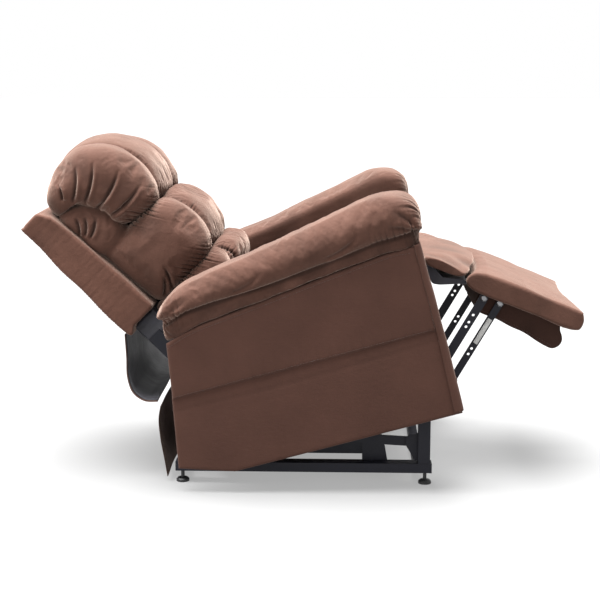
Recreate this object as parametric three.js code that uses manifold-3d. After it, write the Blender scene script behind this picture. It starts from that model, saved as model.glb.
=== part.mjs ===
// Lift recliner chair: a steel lift base, a carriage on four lift arms, a seat frame that tilts
// on the carriage, a reclining back and a fold-out footrest. It stands here as it is used for
// resting: seat tilted back, back laid down, footrest out.
// Millimetres, +Z up, +X forwards, +Y to the sitter's left. The origin is on the floor, in the
// middle of the chair's overall length and width.
import * as THREE from 'three';
import { mergeVertices } from 'three/addons/utils/BufferGeometryUtils.js';
import Module from 'manifold-3d';

const wasm = await Module();
wasm.setup();

// ---------- driving dimensions ----------
const GAP = 0.5;                 // clearance between pieces that touch
const SEAT_WIDTH = 550;          // between the inner faces of the arms
const ARM_WIDTH = 155;           // one arm, inner face to outer face
const ROLL_OVERHANG = 12;        // how far an arm pad stands out over its side panel
const PANEL = 12;                // upholstered panel, with its board
const ARM_HEIGHT = 614;          // arm pad top above the lower edge of the side panel
const SKIRT_HEIGHT = 234;        // lower part of the side panel, below the overlap
const SEAT_TOP = 430;            // seat cushion top, in the seat frame's own upright
const SEAT_CUSHION = 130;        // seat cushion thickness
const BACK_SHELL_LENGTH = 402;   // upholstered back shell, along the back
const BACK_SHELL_WIDTH = 600;
const BACK_CUSHION_WIDTH = 546;
const FOOTREST_LENGTH = 343;     // footrest pad, along the leg
const FOOTREST_PAD = 40;         // footrest pad thickness
const FOOTREST_WIDTH = 524;
const BASE_LENGTH = 706;         // steel side rails
const RAIL_WIDTH = 40;
const RAIL_HEIGHT = 26;
const RAIL_LIFT = 34;            // floor to the underside of the rails
const FOOT_RADIUS = 18;
const PLATE = 6;                 // flat steel bars and plates
const SIDE_PLAY = 2;             // sideways gap between bars that turn past each other
const PIN = 6;                   // pivot pin radius
const PIN_CLEAR = 0.5;           // radial clearance of a pin in its hole
const TUBE = 12;                 // cross tube radius
const ACTUATOR = 16;             // actuator tube radius
const SPARE_HOLE = 4;            // radius of the spare holes in the leg links
const REAR_LINK_HOLES = [157, 172, 195];   // from the knee pivot, along the rear leg link
const FRONT_LINK_HOLES = [84, 102];
const POST_X = [652, 685];       // front posts of the base
const POST_TOP = 196;
const CARRIAGE_TUBE = [240, 160];
const ROUND_SIDES = 20;          // flats around a pin or tube
const CLOTH = 4;                 // thickness that the loose cloth takes up

// ---------- rest pose ----------
const SEAT_TILT = 15.5;          // seat frame tilted back, degrees
const BACK_LEAN = 45;            // back from the vertical
const FOOTREST_SLOPE = 20.4;     // footrest below the horizontal

// ---------- pivots of the lift, seen from the right: x forwards, z up ----------
const LOWER_ARM_BASE = [545, 92];
const LOWER_ARM_CARRIAGE = [140, 92];
const UPPER_ARM_BASE = [632.5, 116.2];
const UPPER_ARM_CARRIAGE = [310, 134];
const TILT_PIVOT = [80, 100];
const LIFT_MOTOR_PIVOT = [120, 80];
const LIFT_CRANK = 70;           // crank on the lift torque tube
const LIFT_CRANK_LEAN = 10;      // degrees back from straight up
const LIFT_MOTOR_SIDE = 60;      // sideways place of the lift actuator
const RECLINE_MOTOR_SIDE = -60;

// ---------- pivots of the seat frame, in the seat frame's own directions ----------
const BACK_HINGE = [97, 274];
const FOOT_DRIVE_PIVOT = [632, 252];
const KNEE_PIVOT = [756, 94];
const FOOT_REAR_PIVOT = [935, 269];
const FOOT_PIVOT_SPACING = 49;   // rear to front pivot on the footrest board
const RECLINE_MOTOR_PIVOT = [280, 225];
const RECLINE_CRANK = 90;
const SEAT_RAIL_BOTTOM = 232;
const SEAT_RAIL_TOP = 272;
const ARM_FRONT = 800;           // front face of the arms
const ARM_BOTTOM = 17;           // lower edge of the side panels

// ---------- places that follow from the sizes ----------
const SEAT_HALF = SEAT_WIDTH / 2;
const ARM_OUTER = SEAT_HALF + ARM_WIDTH;
const layer = (inner, thickness) => [inner, inner + thickness];
const SEAT_RAIL_Y = layer(SEAT_HALF - 13, 12);
const CARRIAGE_Y = layer(SEAT_HALF + 1, PLATE);
const LOWER_ARM_Y = layer(CARRIAGE_Y[1] + SIDE_PLAY, PLATE);
const BASE_RAIL_Y = layer(LOWER_ARM_Y[1] + SIDE_PLAY, RAIL_WIDTH);
const GUSSET_Y = layer(BASE_RAIL_Y[0], PLATE);
const UPPER_ARM_Y = layer(GUSSET_Y[1] + SIDE_PLAY, PLATE);
const POST_PLATE_Y = layer(UPPER_ARM_Y[1] + SIDE_PLAY, PLATE);
const nextInwards = (outer) => layer(outer[0] - SIDE_PLAY - PLATE, PLATE);
const DRIVE_LINK_Y = nextInwards(SEAT_RAIL_Y);
const REAR_LINK_Y = nextInwards(DRIVE_LINK_Y);
const ELBOW_Y = nextInwards(REAR_LINK_Y);          // also the bracket of the footrest board
const FRONT_LINK_Y = nextInwards(ELBOW_Y);
const BOARD_HALF = FRONT_LINK_Y[0] - 2 * SIDE_PLAY;
const RAIL_TOP = RAIL_LIFT + RAIL_HEIGHT;
const BASE_REAR = -16;
const BASE_FRONT = BASE_REAR + BASE_LENGTH;
const SEAT_DECK = SEAT_TOP - SEAT_CUSHION;
const ARM_TOP_RISE = ARM_BOTTOM + ARM_HEIGHT - 631;   // keeps the arm pad's outline on its top

// ---------- materials ----------
const FABRIC = { color: '#6f4d40', roughness: 0.95, metalness: 0 };
const PANEL_FABRIC = { color: '#503833', roughness: 0.95, metalness: 0 };
const LINING = { color: '#2c2a2e', roughness: 0.6, metalness: 0 };
const BLACK_STEEL = { color: '#15141a', roughness: 0.5, metalness: 0.4 };
const BARE_STEEL = { color: '#9a9a9e', roughness: 0.35, metalness: 0.9 };
const BLACK_PLASTIC = { color: '#1b1b1e', roughness: 0.6, metalness: 0 };
const BOARD = { color: '#8a6a48', roughness: 0.8, metalness: 0 };

function named(name, geometry, look) {
  const mesh = new THREE.Mesh(geometry, new THREE.MeshStandardMaterial(look));
  mesh.name = name;
  return mesh;
}

// ---------- solids ----------
function toManifold(geometry) {
  const bare = geometry.clone();
  bare.deleteAttribute('normal');
  bare.deleteAttribute('uv');
  const welded = mergeVertices(bare, 1e-4);
  return new wasm.Manifold(new wasm.Mesh({
    numProp: 3,
    vertProperties: new Float32Array(welded.attributes.position.array),
    triVerts: new Uint32Array(welded.index.array),
  }));
}

function toGeometry(solid) {
  const mesh = solid.getMesh();
  const geometry = new THREE.BufferGeometry();
  geometry.setAttribute('position', new THREE.BufferAttribute(mesh.vertProperties, 3));
  geometry.setIndex(new THREE.BufferAttribute(mesh.triVerts, 1));
  return geometry;
}

function joined(first, ...others) {
  const solid = others.reduce((sum, next) => sum.add(toManifold(next)), toManifold(first));
  return toGeometry(solid);
}

function cut(first, ...others) {
  const solid = others.reduce((rest, next) => rest.subtract(toManifold(next)), toManifold(first));
  return toGeometry(solid);
}

// A block between two corners.
function block(x, y, z) {
  return new THREE.BoxGeometry(x[1] - x[0], y[1] - y[0], z[1] - z[0])
    .translate((x[0] + x[1]) / 2, (y[0] + y[1]) / 2, (z[0] + z[1]) / 2);
}

// An outline in x and z, as deep as y says.
function slab(outline, y) {
  const shape = outline instanceof THREE.Shape
    ? outline
    : new THREE.Shape(outline.map(([x, z]) => new THREE.Vector2(x, z)));
  return new THREE.ExtrudeGeometry(shape, { depth: y[1] - y[0], bevelEnabled: false, curveSegments: 8 })
    .rotateX(Math.PI / 2)
    .translate(0, y[1], 0);
}

// A round pin or tube across the chair.
function round(at, radius, y, sides = ROUND_SIDES) {
  return new THREE.CylinderGeometry(radius, radius, y[1] - y[0], sides)
    .translate(at[0], (y[0] + y[1]) / 2, at[1]);
}

// A flat bar with round ends from one pivot to another, as an outline with its pin holes and
// its spare holes, which are given as distances along it.
function barOutline(from, to, halfWidth, holes = [], spareHoles = []) {
  const angle = Math.atan2(to[1] - from[1], to[0] - from[0]);
  const shape = new THREE.Shape();
  shape.absarc(to[0], to[1], halfWidth, angle - Math.PI / 2, angle + Math.PI / 2, false);
  shape.absarc(from[0], from[1], halfWidth, angle + Math.PI / 2, angle + Math.PI * 1.5, false);
  for (const hole of holes) {
    shape.holes.push(new THREE.Path().absarc(hole[0], hole[1], PIN + PIN_CLEAR, 0, Math.PI * 2, true));
  }
  for (const distance of spareHoles) {
    const [x, z] = polar(from, THREE.MathUtils.radToDeg(angle), distance);
    shape.holes.push(new THREE.Path().absarc(x, z, SPARE_HOLE, 0, Math.PI * 2, true));
  }
  return shape;
}

function holed(outline, ...holes) {
  const shape = new THREE.Shape(outline.map(([x, z]) => new THREE.Vector2(x, z)));
  for (const hole of holes) {
    shape.holes.push(new THREE.Path().absarc(hole[0], hole[1], PIN + PIN_CLEAR, 0, Math.PI * 2, true));
  }
  return shape;
}

const SIDES = [['right', -1], ['left', 1]];

// The two depths of a layer, on the side that sign says, lowest first.
function onSide(sign, y) {
  return sign > 0 ? [y[0], y[1]] : [-y[1], -y[0]];
}

const across = (half) => [-half, half];

const turned = (degrees) => THREE.MathUtils.degToRad(degrees);

function polar(from, degrees, length) {
  return [from[0] + length * Math.cos(turned(degrees)), from[1] + length * Math.sin(turned(degrees))];
}

// ---------- steel base ----------
const GUSSET_TOP = LOWER_ARM_BASE[1] + 28;

function baseRail(sign) {
  const y = onSide(sign, BASE_RAIL_Y);
  const rail = block([BASE_REAR, BASE_FRONT], y, [RAIL_LIFT, RAIL_TOP]);
  const [x, z] = LOWER_ARM_BASE;
  const gusset = slab(
    [[x - 46, RAIL_TOP - 1], [x + 24, RAIL_TOP - 1], [x + 17, z + 8], [x + 8, GUSSET_TOP], [x - 34, GUSSET_TOP],
      [x - 46, GUSSET_TOP - 12]],
    onSide(sign, GUSSET_Y),
  );
  const pin = round(LOWER_ARM_BASE, PIN, onSide(sign, [LOWER_ARM_Y[0] + 1, GUSSET_Y[0] + 1]));
  return joined(rail, gusset, pin);
}

function frontPost(sign) {
  const post = block(POST_X, onSide(sign, BASE_RAIL_Y), [RAIL_TOP + GAP, POST_TOP]);
  const [x, z] = UPPER_ARM_BASE;
  const plate = slab(
    [[x - 14, z - 8], [x + 12, RAIL_TOP + 4], [POST_X[1], RAIL_TOP + 4], [POST_X[1], z + 44],
      [x + 12, z + 22], [x - 6, z + 20], [x - 14, z + 12]],
    onSide(sign, POST_PLATE_Y),
  );
  const pin = round(UPPER_ARM_BASE, PIN, onSide(sign, [UPPER_ARM_Y[0] + 1, POST_PLATE_Y[0] + 1]));
  return joined(post, plate, pin);
}

function levellingFoot(x, sign) {
  const y = sign * (BASE_RAIL_Y[0] + BASE_RAIL_Y[1]) / 2;
  const profile = [[0, 0], [FOOT_RADIUS, 0], [FOOT_RADIUS, 6], [FOOT_RADIUS - 4, 10], [5, 12], [5, RAIL_LIFT - GAP],
    [0, RAIL_LIFT - GAP]].map(([r, z]) => new THREE.Vector2(r, z));
  return new THREE.LatheGeometry(profile, 20).rotateX(Math.PI / 2).translate(x, y, 0);
}

function baseCrossTube(x) {
  return block([x, x + RAIL_HEIGHT], across(BASE_RAIL_Y[0] - GAP), [RAIL_LIFT, RAIL_TOP]);
}

// A fork of two cheeks with its pin, standing on what holds an actuator.
function fork(pivot, side, foot) {
  const cheek = (offset) => slab(
    [[pivot[0] - 14, foot], [pivot[0] + 14, foot], [pivot[0] + 9, pivot[1] + Math.sign(pivot[1] - foot) * 9],
      [pivot[0] - 9, pivot[1] + Math.sign(pivot[1] - foot) * 9]],
    [side + offset - 2.5, side + offset + 2.5],
  );
  return [cheek(-11), cheek(11), round(pivot, PIN, [side - 12, side + 12])];
}

function buildBase() {
  const base = new THREE.Group();
  for (const [side, sign] of SIDES) {
    base.add(named(`base_rail_${side}`, baseRail(sign), BLACK_STEEL));
    base.add(named(`front_post_${side}`, frontPost(sign), BLACK_STEEL));
    base.add(named(`levelling_foot_rear_${side}`, levellingFoot(BASE_REAR + FOOT_RADIUS, sign), BLACK_PLASTIC));
    base.add(named(`levelling_foot_front_${side}`, levellingFoot(BASE_FRONT - FOOT_RADIUS, sign), BLACK_PLASTIC));
  }
  base.add(named('base_rear_tube', baseCrossTube(BASE_REAR + 2), BLACK_STEEL));
  base.add(named('base_front_tube', baseCrossTube(BASE_FRONT - 50), BLACK_STEEL));
  base.add(named('base_middle_tube', joined(
    baseCrossTube(LIFT_MOTOR_PIVOT[0] - RAIL_HEIGHT / 2),
    ...fork(LIFT_MOTOR_PIVOT, LIFT_MOTOR_SIDE, RAIL_TOP - 1),
  ), BLACK_STEEL));
  base.add(named('power_supply', powerSupply(), BLACK_PLASTIC));
  return base;
}

// The power box lies on the rear tube, with the recess of its inlet at the back.
function powerSupply() {
  const x = [BASE_REAR + 2, BASE_REAR + 82];
  const z = [RAIL_TOP + GAP, RAIL_TOP + 40];
  const inlet = block([x[0] - 1, x[0] + 14], [-175, -147], [z[0] + 10, z[0] + 30]);
  return cut(block(x, [-220, -100], z), inlet);
}

// ---------- lift arms, carriage and lift actuator ----------
function buildLift() {
  const lift = new THREE.Group();
  for (const [side, sign] of SIDES) {
    const lower = joined(
      slab(barOutline(LOWER_ARM_BASE, LOWER_ARM_CARRIAGE, 16, [LOWER_ARM_BASE]), onSide(sign, LOWER_ARM_Y)),
      round(LOWER_ARM_CARRIAGE, PIN, onSide(sign, [CARRIAGE_Y[0] + 1, LOWER_ARM_Y[0] + 1])),
    );
    lift.add(named(`lift_arm_lower_${side}`, lower, BLACK_STEEL));
    lift.add(named(`lift_arm_upper_${side}`, upperArm(sign), BLACK_STEEL));
    lift.add(named(`carriage_plate_${side}`, carriagePlate(sign), BLACK_STEEL));
  }
  lift.add(named('lift_torque_tube', liftTorqueTube(), BLACK_STEEL));
  lift.add(named('carriage_cross_tube',
    round(CARRIAGE_TUBE, TUBE, across(CARRIAGE_Y[0] - GAP)), BLACK_STEEL));
  return lift;
}

// The upper arm's far pin stops just short of the carriage plate, as this is where the closed
// linkage is opened.
function upperArm(sign) {
  const bar = slab(barOutline(UPPER_ARM_BASE, UPPER_ARM_CARRIAGE, 13, [UPPER_ARM_BASE]),
    onSide(sign, UPPER_ARM_Y));
  const pin = round(UPPER_ARM_CARRIAGE, PIN, onSide(sign, [CARRIAGE_Y[1] + 1, UPPER_ARM_Y[0] + 1]));
  return joined(bar, pin);
}

function carriagePlate(sign) {
  const outline = [[TILT_PIVOT[0] - 15, TILT_PIVOT[1] - 12], [TILT_PIVOT[0] + 12, TILT_PIVOT[1] - 20],
    [LOWER_ARM_CARRIAGE[0] + 10, LOWER_ARM_CARRIAGE[1] - 18],
    [UPPER_ARM_CARRIAGE[0] + 8, UPPER_ARM_CARRIAGE[1] - 14], [UPPER_ARM_CARRIAGE[0] + 16, UPPER_ARM_CARRIAGE[1]],
    [UPPER_ARM_CARRIAGE[0] + 8, UPPER_ARM_CARRIAGE[1] + 14], [CARRIAGE_TUBE[0] + 18, CARRIAGE_TUBE[1] + 4],
    [CARRIAGE_TUBE[0], CARRIAGE_TUBE[1] + 18], [CARRIAGE_TUBE[0] - 18, CARRIAGE_TUBE[1] + 6],
    [LOWER_ARM_CARRIAGE[0] - 8, LOWER_ARM_CARRIAGE[1] + 26], [TILT_PIVOT[0] - 6, TILT_PIVOT[1] + 16],
    [TILT_PIVOT[0] - 15, TILT_PIVOT[1] + 6]];
  const plate = slab(holed(outline, LOWER_ARM_CARRIAGE), onSide(sign, CARRIAGE_Y));
  const pin = round(TILT_PIVOT, PIN, onSide(sign, [SEAT_RAIL_Y[0] + 1, CARRIAGE_Y[0] + 1]));
  return joined(plate, pin);
}

const LIFT_CRANK_END = polar(LOWER_ARM_BASE, 90 + LIFT_CRANK_LEAN, LIFT_CRANK);

function liftTorqueTube() {
  const tube = round(LOWER_ARM_BASE, TUBE, across(LOWER_ARM_Y[0] - GAP));
  const crank = slab(barOutline(LOWER_ARM_BASE, LIFT_CRANK_END, 11), [LIFT_MOTOR_SIDE - 4, LIFT_MOTOR_SIDE + 4]);
  return joined(tube, crank);
}

// The fixed half of an actuator: eye, gearbox, motor and the tube that the rod slides in.
// It lies along +X from its pivot, with the motor across it, on its own -Z side where motorSide
// is 1 and on its +Z side where it is -1.
function actuatorBody(tubeEnd, motorSide) {
  const eye = new THREE.CylinderGeometry(12, 12, 16, 20);
  const hole = new THREE.CylinderGeometry(PIN + PIN_CLEAR, PIN + PIN_CLEAR, 18, 20);
  const neck = block([8, 26], [-7, 7], [-9, 9]);
  const tube = new THREE.LatheGeometry(
    [[0, 22], [ACTUATOR, 22], [ACTUATOR, tubeEnd], [ACTUATOR - 5, tubeEnd], [ACTUATOR - 5, 30], [0, 30]]
      .map(([r, x]) => new THREE.Vector2(r, x)), 20).rotateZ(-Math.PI / 2);
  const motor = new THREE.CylinderGeometry(17, 17, 46, 20).rotateX(Math.PI / 2).translate(40, 0, -36 * motorSide);
  return cut(joined(eye, neck, tube, motor), hole);
}

// The sliding half: a rod and a fork that straddles the crank. The fork's pin is left out, as
// this is where the closed linkage is opened.
function actuatorRod(length, reach) {
  const bridgeAt = length - 47;
  const rod = new THREE.CylinderGeometry(8, 8, reach - 40, 16).rotateZ(Math.PI / 2)
    .translate(length - 40 - (reach - 40) / 2, 0, 0);
  const bridge = block([bridgeAt, bridgeAt + 12], [-13, 13], [-9, 9]);
  const cheeks = [-1, 1].map((side) => block([bridgeAt + 10, length + 8], onSide(side, [8, 13]), [-9, 9]));
  return joined(rod, bridge, ...cheeks);
}

// Places an actuator from its pivot towards the end that it moves.
function buildActuator(name, pivot, end, side, tubeEnd, reach, motorSide) {
  const actuator = new THREE.Group();
  const length = Math.hypot(end[0] - pivot[0], end[1] - pivot[1]);
  actuator.add(named(`${name}_motor`, actuatorBody(tubeEnd, motorSide), BLACK_PLASTIC));
  actuator.add(named(`${name}_rod`, actuatorRod(length, reach), BARE_STEEL));
  actuator.position.set(pivot[0], side, pivot[1]);
  actuator.rotation.y = -Math.atan2(end[1] - pivot[1], end[0] - pivot[0]);
  return actuator;
}

// ---------- seat frame ----------
function seatRail(sign) {
  const top = BACK_HINGE[1] + 20;
  const pivot = SEAT_TILT_PIVOT;
  const outline = [[BACK_HINGE[0] - 22, SEAT_RAIL_BOTTOM + 10], [pivot[0] - 15, pivot[1] + 4],
    [pivot[0] - 9, pivot[1] - 13], [pivot[0] + 9, pivot[1] - 13], [pivot[0] + 15, pivot[1] + 4],
    [pivot[0] + 26, SEAT_RAIL_BOTTOM], [ARM_FRONT - 14, SEAT_RAIL_BOTTOM], [ARM_FRONT - 14, SEAT_RAIL_TOP],
    [BACK_HINGE[0] + 60, SEAT_RAIL_TOP], [BACK_HINGE[0] + 22, top], [BACK_HINGE[0] - 22, top]];
  return slab(holed(outline, pivot, BACK_HINGE, FOOT_DRIVE_PIVOT), onSide(sign, SEAT_RAIL_Y));
}

// The tilt pivot of the carriage, in the seat frame's own directions.
const SEAT_TILT_PIVOT = [
  TILT_PIVOT[0] * Math.cos(turned(SEAT_TILT)) + TILT_PIVOT[1] * Math.sin(turned(SEAT_TILT)),
  TILT_PIVOT[1] * Math.cos(turned(SEAT_TILT)) - TILT_PIVOT[0] * Math.sin(turned(SEAT_TILT)),
];

function crossRail(x) {
  return block([x, x + 25], across(SEAT_RAIL_Y[0] - GAP), [SEAT_RAIL_BOTTOM + 8, SEAT_RAIL_TOP]);
}

function seatCushion() {
  const [rear, front] = [228, 725];
  const outline = new THREE.Shape();
  outline.moveTo(rear, SEAT_DECK + GAP);
  outline.lineTo(front - 20, SEAT_DECK + GAP);
  outline.quadraticCurveTo(front, SEAT_DECK + 40, front - 4, SEAT_TOP - 45);
  outline.quadraticCurveTo(front - 14, SEAT_TOP - 4, front - 70, SEAT_TOP + 4);
  outline.quadraticCurveTo((rear + front) / 2, SEAT_TOP + 10, rear, SEAT_TOP - 6);
  return slab(outline, across(SEAT_HALF - 5));
}

// ---------- arms ----------
// The seam between the side panel and the arm pad, from the rear to the front.
const ARM_SEAM = [[87, 398], [168, 421], [329, 439], [554, 464], [714, 479], [ARM_FRONT - 4, 474]];

function sidePanelUpper(sign) {
  const skirtTop = ARM_BOTTOM + SKIRT_HEIGHT;
  const outline = [[60, skirtTop + GAP], [ARM_FRONT - 4, skirtTop + GAP],
    ...ARM_SEAM.map(([x, z]) => [x, z + ARM_TOP_RISE - GAP]).reverse()];
  return slab(outline, onSide(sign, [ARM_OUTER - PANEL, ARM_OUTER]));
}

function sidePanelSkirt(sign) {
  const skirtTop = ARM_BOTTOM + SKIRT_HEIGHT;
  const outline = [[60, skirtTop], [22, ARM_BOTTOM + 47], [168, ARM_BOTTOM], [ARM_FRONT - 4, ARM_BOTTOM],
    [ARM_FRONT - 4, skirtTop]];
  return slab(outline, onSide(sign, [ARM_OUTER - PANEL, ARM_OUTER]));
}

function innerPanel(sign) {
  const outline = [[150, 190], [ARM_FRONT - 26, 190], [ARM_FRONT - 26, 470 + ARM_TOP_RISE],
    [150, 412 + ARM_TOP_RISE]];
  return slab(outline, onSide(sign, layer(SEAT_HALF + GAP, PANEL)));
}

function frontPanel(sign) {
  return block([ARM_FRONT - 22, ARM_FRONT - 4], onSide(sign, [SEAT_HALF + GAP, ARM_OUTER - PANEL - GAP]),
    [ARM_BOTTOM + 10, 470 + ARM_TOP_RISE]);
}

// The arm pad, with the pad's crown and its rolled front end.
function armPad(sign) {
  const crown = [[ARM_FRONT + 13, 508], [ARM_FRONT + 19, 546], [ARM_FRONT + 19, 578], [ARM_FRONT + 7, 607],
    [775, 624], [730, 631], [676, 622], [538, 597], [384, 570], [219, 545], [158, 531], [111, 506], [85, 446]];
  const outline = [...ARM_SEAM, ...crown].map(([x, z]) => [x, z + ARM_TOP_RISE]);
  return slab(outline, onSide(sign, [SEAT_HALF + 3, ARM_OUTER + ROLL_OVERHANG]));
}

function buildSeatFrame() {
  const seat = new THREE.Group();
  for (const [side, sign] of SIDES) {
    seat.add(named(`seat_rail_${side}`, seatRail(sign), BLACK_STEEL));
    seat.add(named(`arm_side_panel_${side}`, sidePanelUpper(sign), PANEL_FABRIC));
    seat.add(named(`arm_skirt_panel_${side}`, sidePanelSkirt(sign), PANEL_FABRIC));
    seat.add(named(`arm_inner_panel_${side}`, innerPanel(sign), PANEL_FABRIC));
    seat.add(named(`arm_front_panel_${side}`, frontPanel(sign), PANEL_FABRIC));
    seat.add(named(`arm_pad_${side}`, armPad(sign), FABRIC));
  }
  seat.add(named('seat_front_rail', crossRail(ARM_FRONT - 110), BLACK_STEEL));
  seat.add(named('seat_rear_rail', joined(
    crossRail(RECLINE_MOTOR_PIVOT[0] - 12),
    ...fork(RECLINE_MOTOR_PIVOT, RECLINE_MOTOR_SIDE, SEAT_RAIL_BOTTOM + 9),
  ), BLACK_STEEL));
  seat.add(named('seat_deck',
    block([230, 715], across(SEAT_RAIL_Y[0] - GAP), [SEAT_RAIL_TOP + GAP, SEAT_DECK]), BOARD));
  seat.add(named('seat_cushion', seatCushion(), FABRIC));
  return seat;
}

// ---------- footrest ----------
const FOOT_ANGLE = SEAT_TILT + FOOTREST_SLOPE;   // below the seat frame's own level

// Footrest pieces lie along +X from the rear pivot on the board.
function footrestPad() {
  const [rear, front] = [-67, FOOTREST_LENGTH - 67];
  const bottom = 16;
  const top = bottom + FOOTREST_PAD;
  const outline = new THREE.Shape();
  outline.moveTo(rear + 30, bottom);
  outline.lineTo(front - 18, bottom);
  outline.quadraticCurveTo(front, bottom + 2, front, top - 16);
  outline.quadraticCurveTo(front - 2, top, front - 22, top);
  outline.lineTo(rear + 45, top);
  outline.quadraticCurveTo(rear + 8, top - 2, rear, top - 14);
  outline.quadraticCurveTo(rear + 4, top - 26, rear + 30, bottom);
  return slab(outline, across(FOOTREST_WIDTH / 2));
}

function footrestBoard() {
  const end = FOOTREST_LENGTH - 97;
  const outline = [[-18, 13], [-15, -31], [end / 2, -44], [end - 12, -69], [end, -34], [end - 14, -12],
    [end - 20, 13]];
  const board = slab(outline, across(BOARD_HALF));
  const cover = block([-18, end - 20], across(ELBOW_Y[1]), [11.5, 15.5]);
  const brackets = SIDES.map(([, sign]) =>
    block([-14, FOOT_PIVOT_SPACING + 14], onSide(sign, ELBOW_Y), [-13, 12]));
  const rearPins = SIDES.map(([, sign]) => round([0, 0], PIN,
    onSide(sign, [ELBOW_Y[1] - 1, REAR_LINK_Y[1] - 1])));
  const frontPins = SIDES.map(([, sign]) => round([FOOT_PIVOT_SPACING, 0], PIN,
    onSide(sign, [FRONT_LINK_Y[0] + 1, ELBOW_Y[0] + 1])));
  return joined(board, cover, ...brackets, ...rearPins, ...frontPins);
}

function buildFootrest() {
  const footrest = new THREE.Group();
  footrest.add(named('footrest_pad', footrestPad(), FABRIC));
  footrest.add(named('footrest_board', footrestBoard(), PANEL_FABRIC));
  footrest.position.set(FOOT_REAR_PIVOT[0], 0, FOOT_REAR_PIVOT[1]);
  footrest.rotation.y = turned(FOOT_ANGLE);
  return footrest;
}

// The pad that bridges the seat cushion and the footrest.
function chaisePad() {
  const outline = [[804, 423], [845, 402], [880, 372], [896, 350], [888, 340], [860, 350], [826, 380],
    [804, 402]];
  return slab(outline, across(FOOTREST_WIDTH / 2 - 8));
}

const FRONT_OFFSET = polar([0, 0], -FOOT_ANGLE, FOOT_PIVOT_SPACING);
const shifted = (point) => [point[0] + FRONT_OFFSET[0], point[1] + FRONT_OFFSET[1]];

// The drive frame: both lower links welded to the tube that turns in the seat rails.
function footDriveFrame() {
  const links = SIDES.map(([, sign]) => slab(
    barOutline(FOOT_DRIVE_PIVOT, KNEE_PIVOT, 13, [KNEE_PIVOT]), onSide(sign, DRIVE_LINK_Y)));
  const tube = round(FOOT_DRIVE_PIVOT, TUBE - 2, across(DRIVE_LINK_Y[0] + 1));
  const pins = SIDES.map(([, sign]) => round(FOOT_DRIVE_PIVOT, PIN,
    onSide(sign, [DRIVE_LINK_Y[1] - 1, SEAT_RAIL_Y[1] - 1])));
  return joined(tube, ...links, ...pins);
}

// The rear leg link, with the pin that turns in the lower link.
function rearLegLink(sign) {
  const outline = barOutline(KNEE_PIVOT, FOOT_REAR_PIVOT, 12, [FOOT_REAR_PIVOT], REAR_LINK_HOLES);
  const bar = slab(outline, onSide(sign, REAR_LINK_Y));
  const pin = round(KNEE_PIVOT, PIN, onSide(sign, [ELBOW_Y[0] + 1, DRIVE_LINK_Y[1] - 1]));
  return joined(bar, pin);
}

// The elbow keeps the front leg link parallel to the rear one.
function legElbow(sign) {
  const bar = slab(barOutline(KNEE_PIVOT, shifted(KNEE_PIVOT), 13, [KNEE_PIVOT]), onSide(sign, ELBOW_Y));
  const pin = round(shifted(KNEE_PIVOT), PIN, onSide(sign, [FRONT_LINK_Y[0] + 1, ELBOW_Y[0] + 1]));
  return joined(bar, pin);
}

function frontLegLink(sign) {
  const outline = barOutline(shifted(KNEE_PIVOT), shifted(FOOT_REAR_PIVOT), 10,
    [shifted(KNEE_PIVOT), shifted(FOOT_REAR_PIVOT)], FRONT_LINK_HOLES);
  return slab(outline, onSide(sign, FRONT_LINK_Y));
}

function buildLegLinks() {
  const links = new THREE.Group();
  links.add(named('foot_drive_frame', footDriveFrame(), BLACK_STEEL));
  for (const [side, sign] of SIDES) {
    links.add(named(`leg_link_rear_${side}`, rearLegLink(sign), BLACK_STEEL));
    links.add(named(`leg_elbow_${side}`, legElbow(sign), BLACK_STEEL));
    links.add(named(`leg_link_front_${side}`, frontLegLink(sign), BLACK_STEEL));
  }
  return links;
}

// ---------- back, with x forwards from the back and z along it, from the hinge ----------
const LUMBAR_TOP = 206;
const ROW_SEAM = 404;
const SHELL_TOP = LUMBAR_TOP + BACK_SHELL_LENGTH;

function backShell() {
  const outline = [[-34, LUMBAR_TOP], [72, LUMBAR_TOP], [66, ROW_SEAM], [54, SHELL_TOP - 48], [33, SHELL_TOP],
    [-31, SHELL_TOP]];
  return slab(outline, across(BACK_SHELL_WIDTH / 2));
}

function backLowerFrame() {
  const outline = [[-14, 24], [48, 24], [60, LUMBAR_TOP - GAP], [-20, LUMBAR_TOP - GAP]];
  return slab(outline, across(SEAT_RAIL_Y[0] - 8));
}

function headCushion() {
  const outline = new THREE.Shape();
  outline.moveTo(68, ROW_SEAM + GAP);
  outline.lineTo(56, SHELL_TOP - 46);
  outline.lineTo(38, SHELL_TOP + 2);
  outline.quadraticCurveTo(100, SHELL_TOP + 50, 170, SHELL_TOP + 60);
  outline.quadraticCurveTo(262, SHELL_TOP + 50, 300, SHELL_TOP - 20);
  outline.quadraticCurveTo(326, SHELL_TOP - 70, 322, ROW_SEAM + GAP);
  return slab(outline, across(BACK_CUSHION_WIDTH / 2));
}

function midCushion() {
  const outline = [[74, LUMBAR_TOP + GAP], [306, LUMBAR_TOP + GAP], [325, LUMBAR_TOP + 50], [327, ROW_SEAM - 60],
    [314, ROW_SEAM - GAP], [68, ROW_SEAM - GAP]];
  return slab(outline, across(BACK_CUSHION_WIDTH / 2));
}

function lumbarCushion() {
  const outline = [[62, LUMBAR_TOP - GAP], [62, 150], [150, 122], [300, 118], [322, 150], [308, LUMBAR_TOP - GAP]];
  return slab(outline, across(SEAT_HALF - 8));
}

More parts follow.
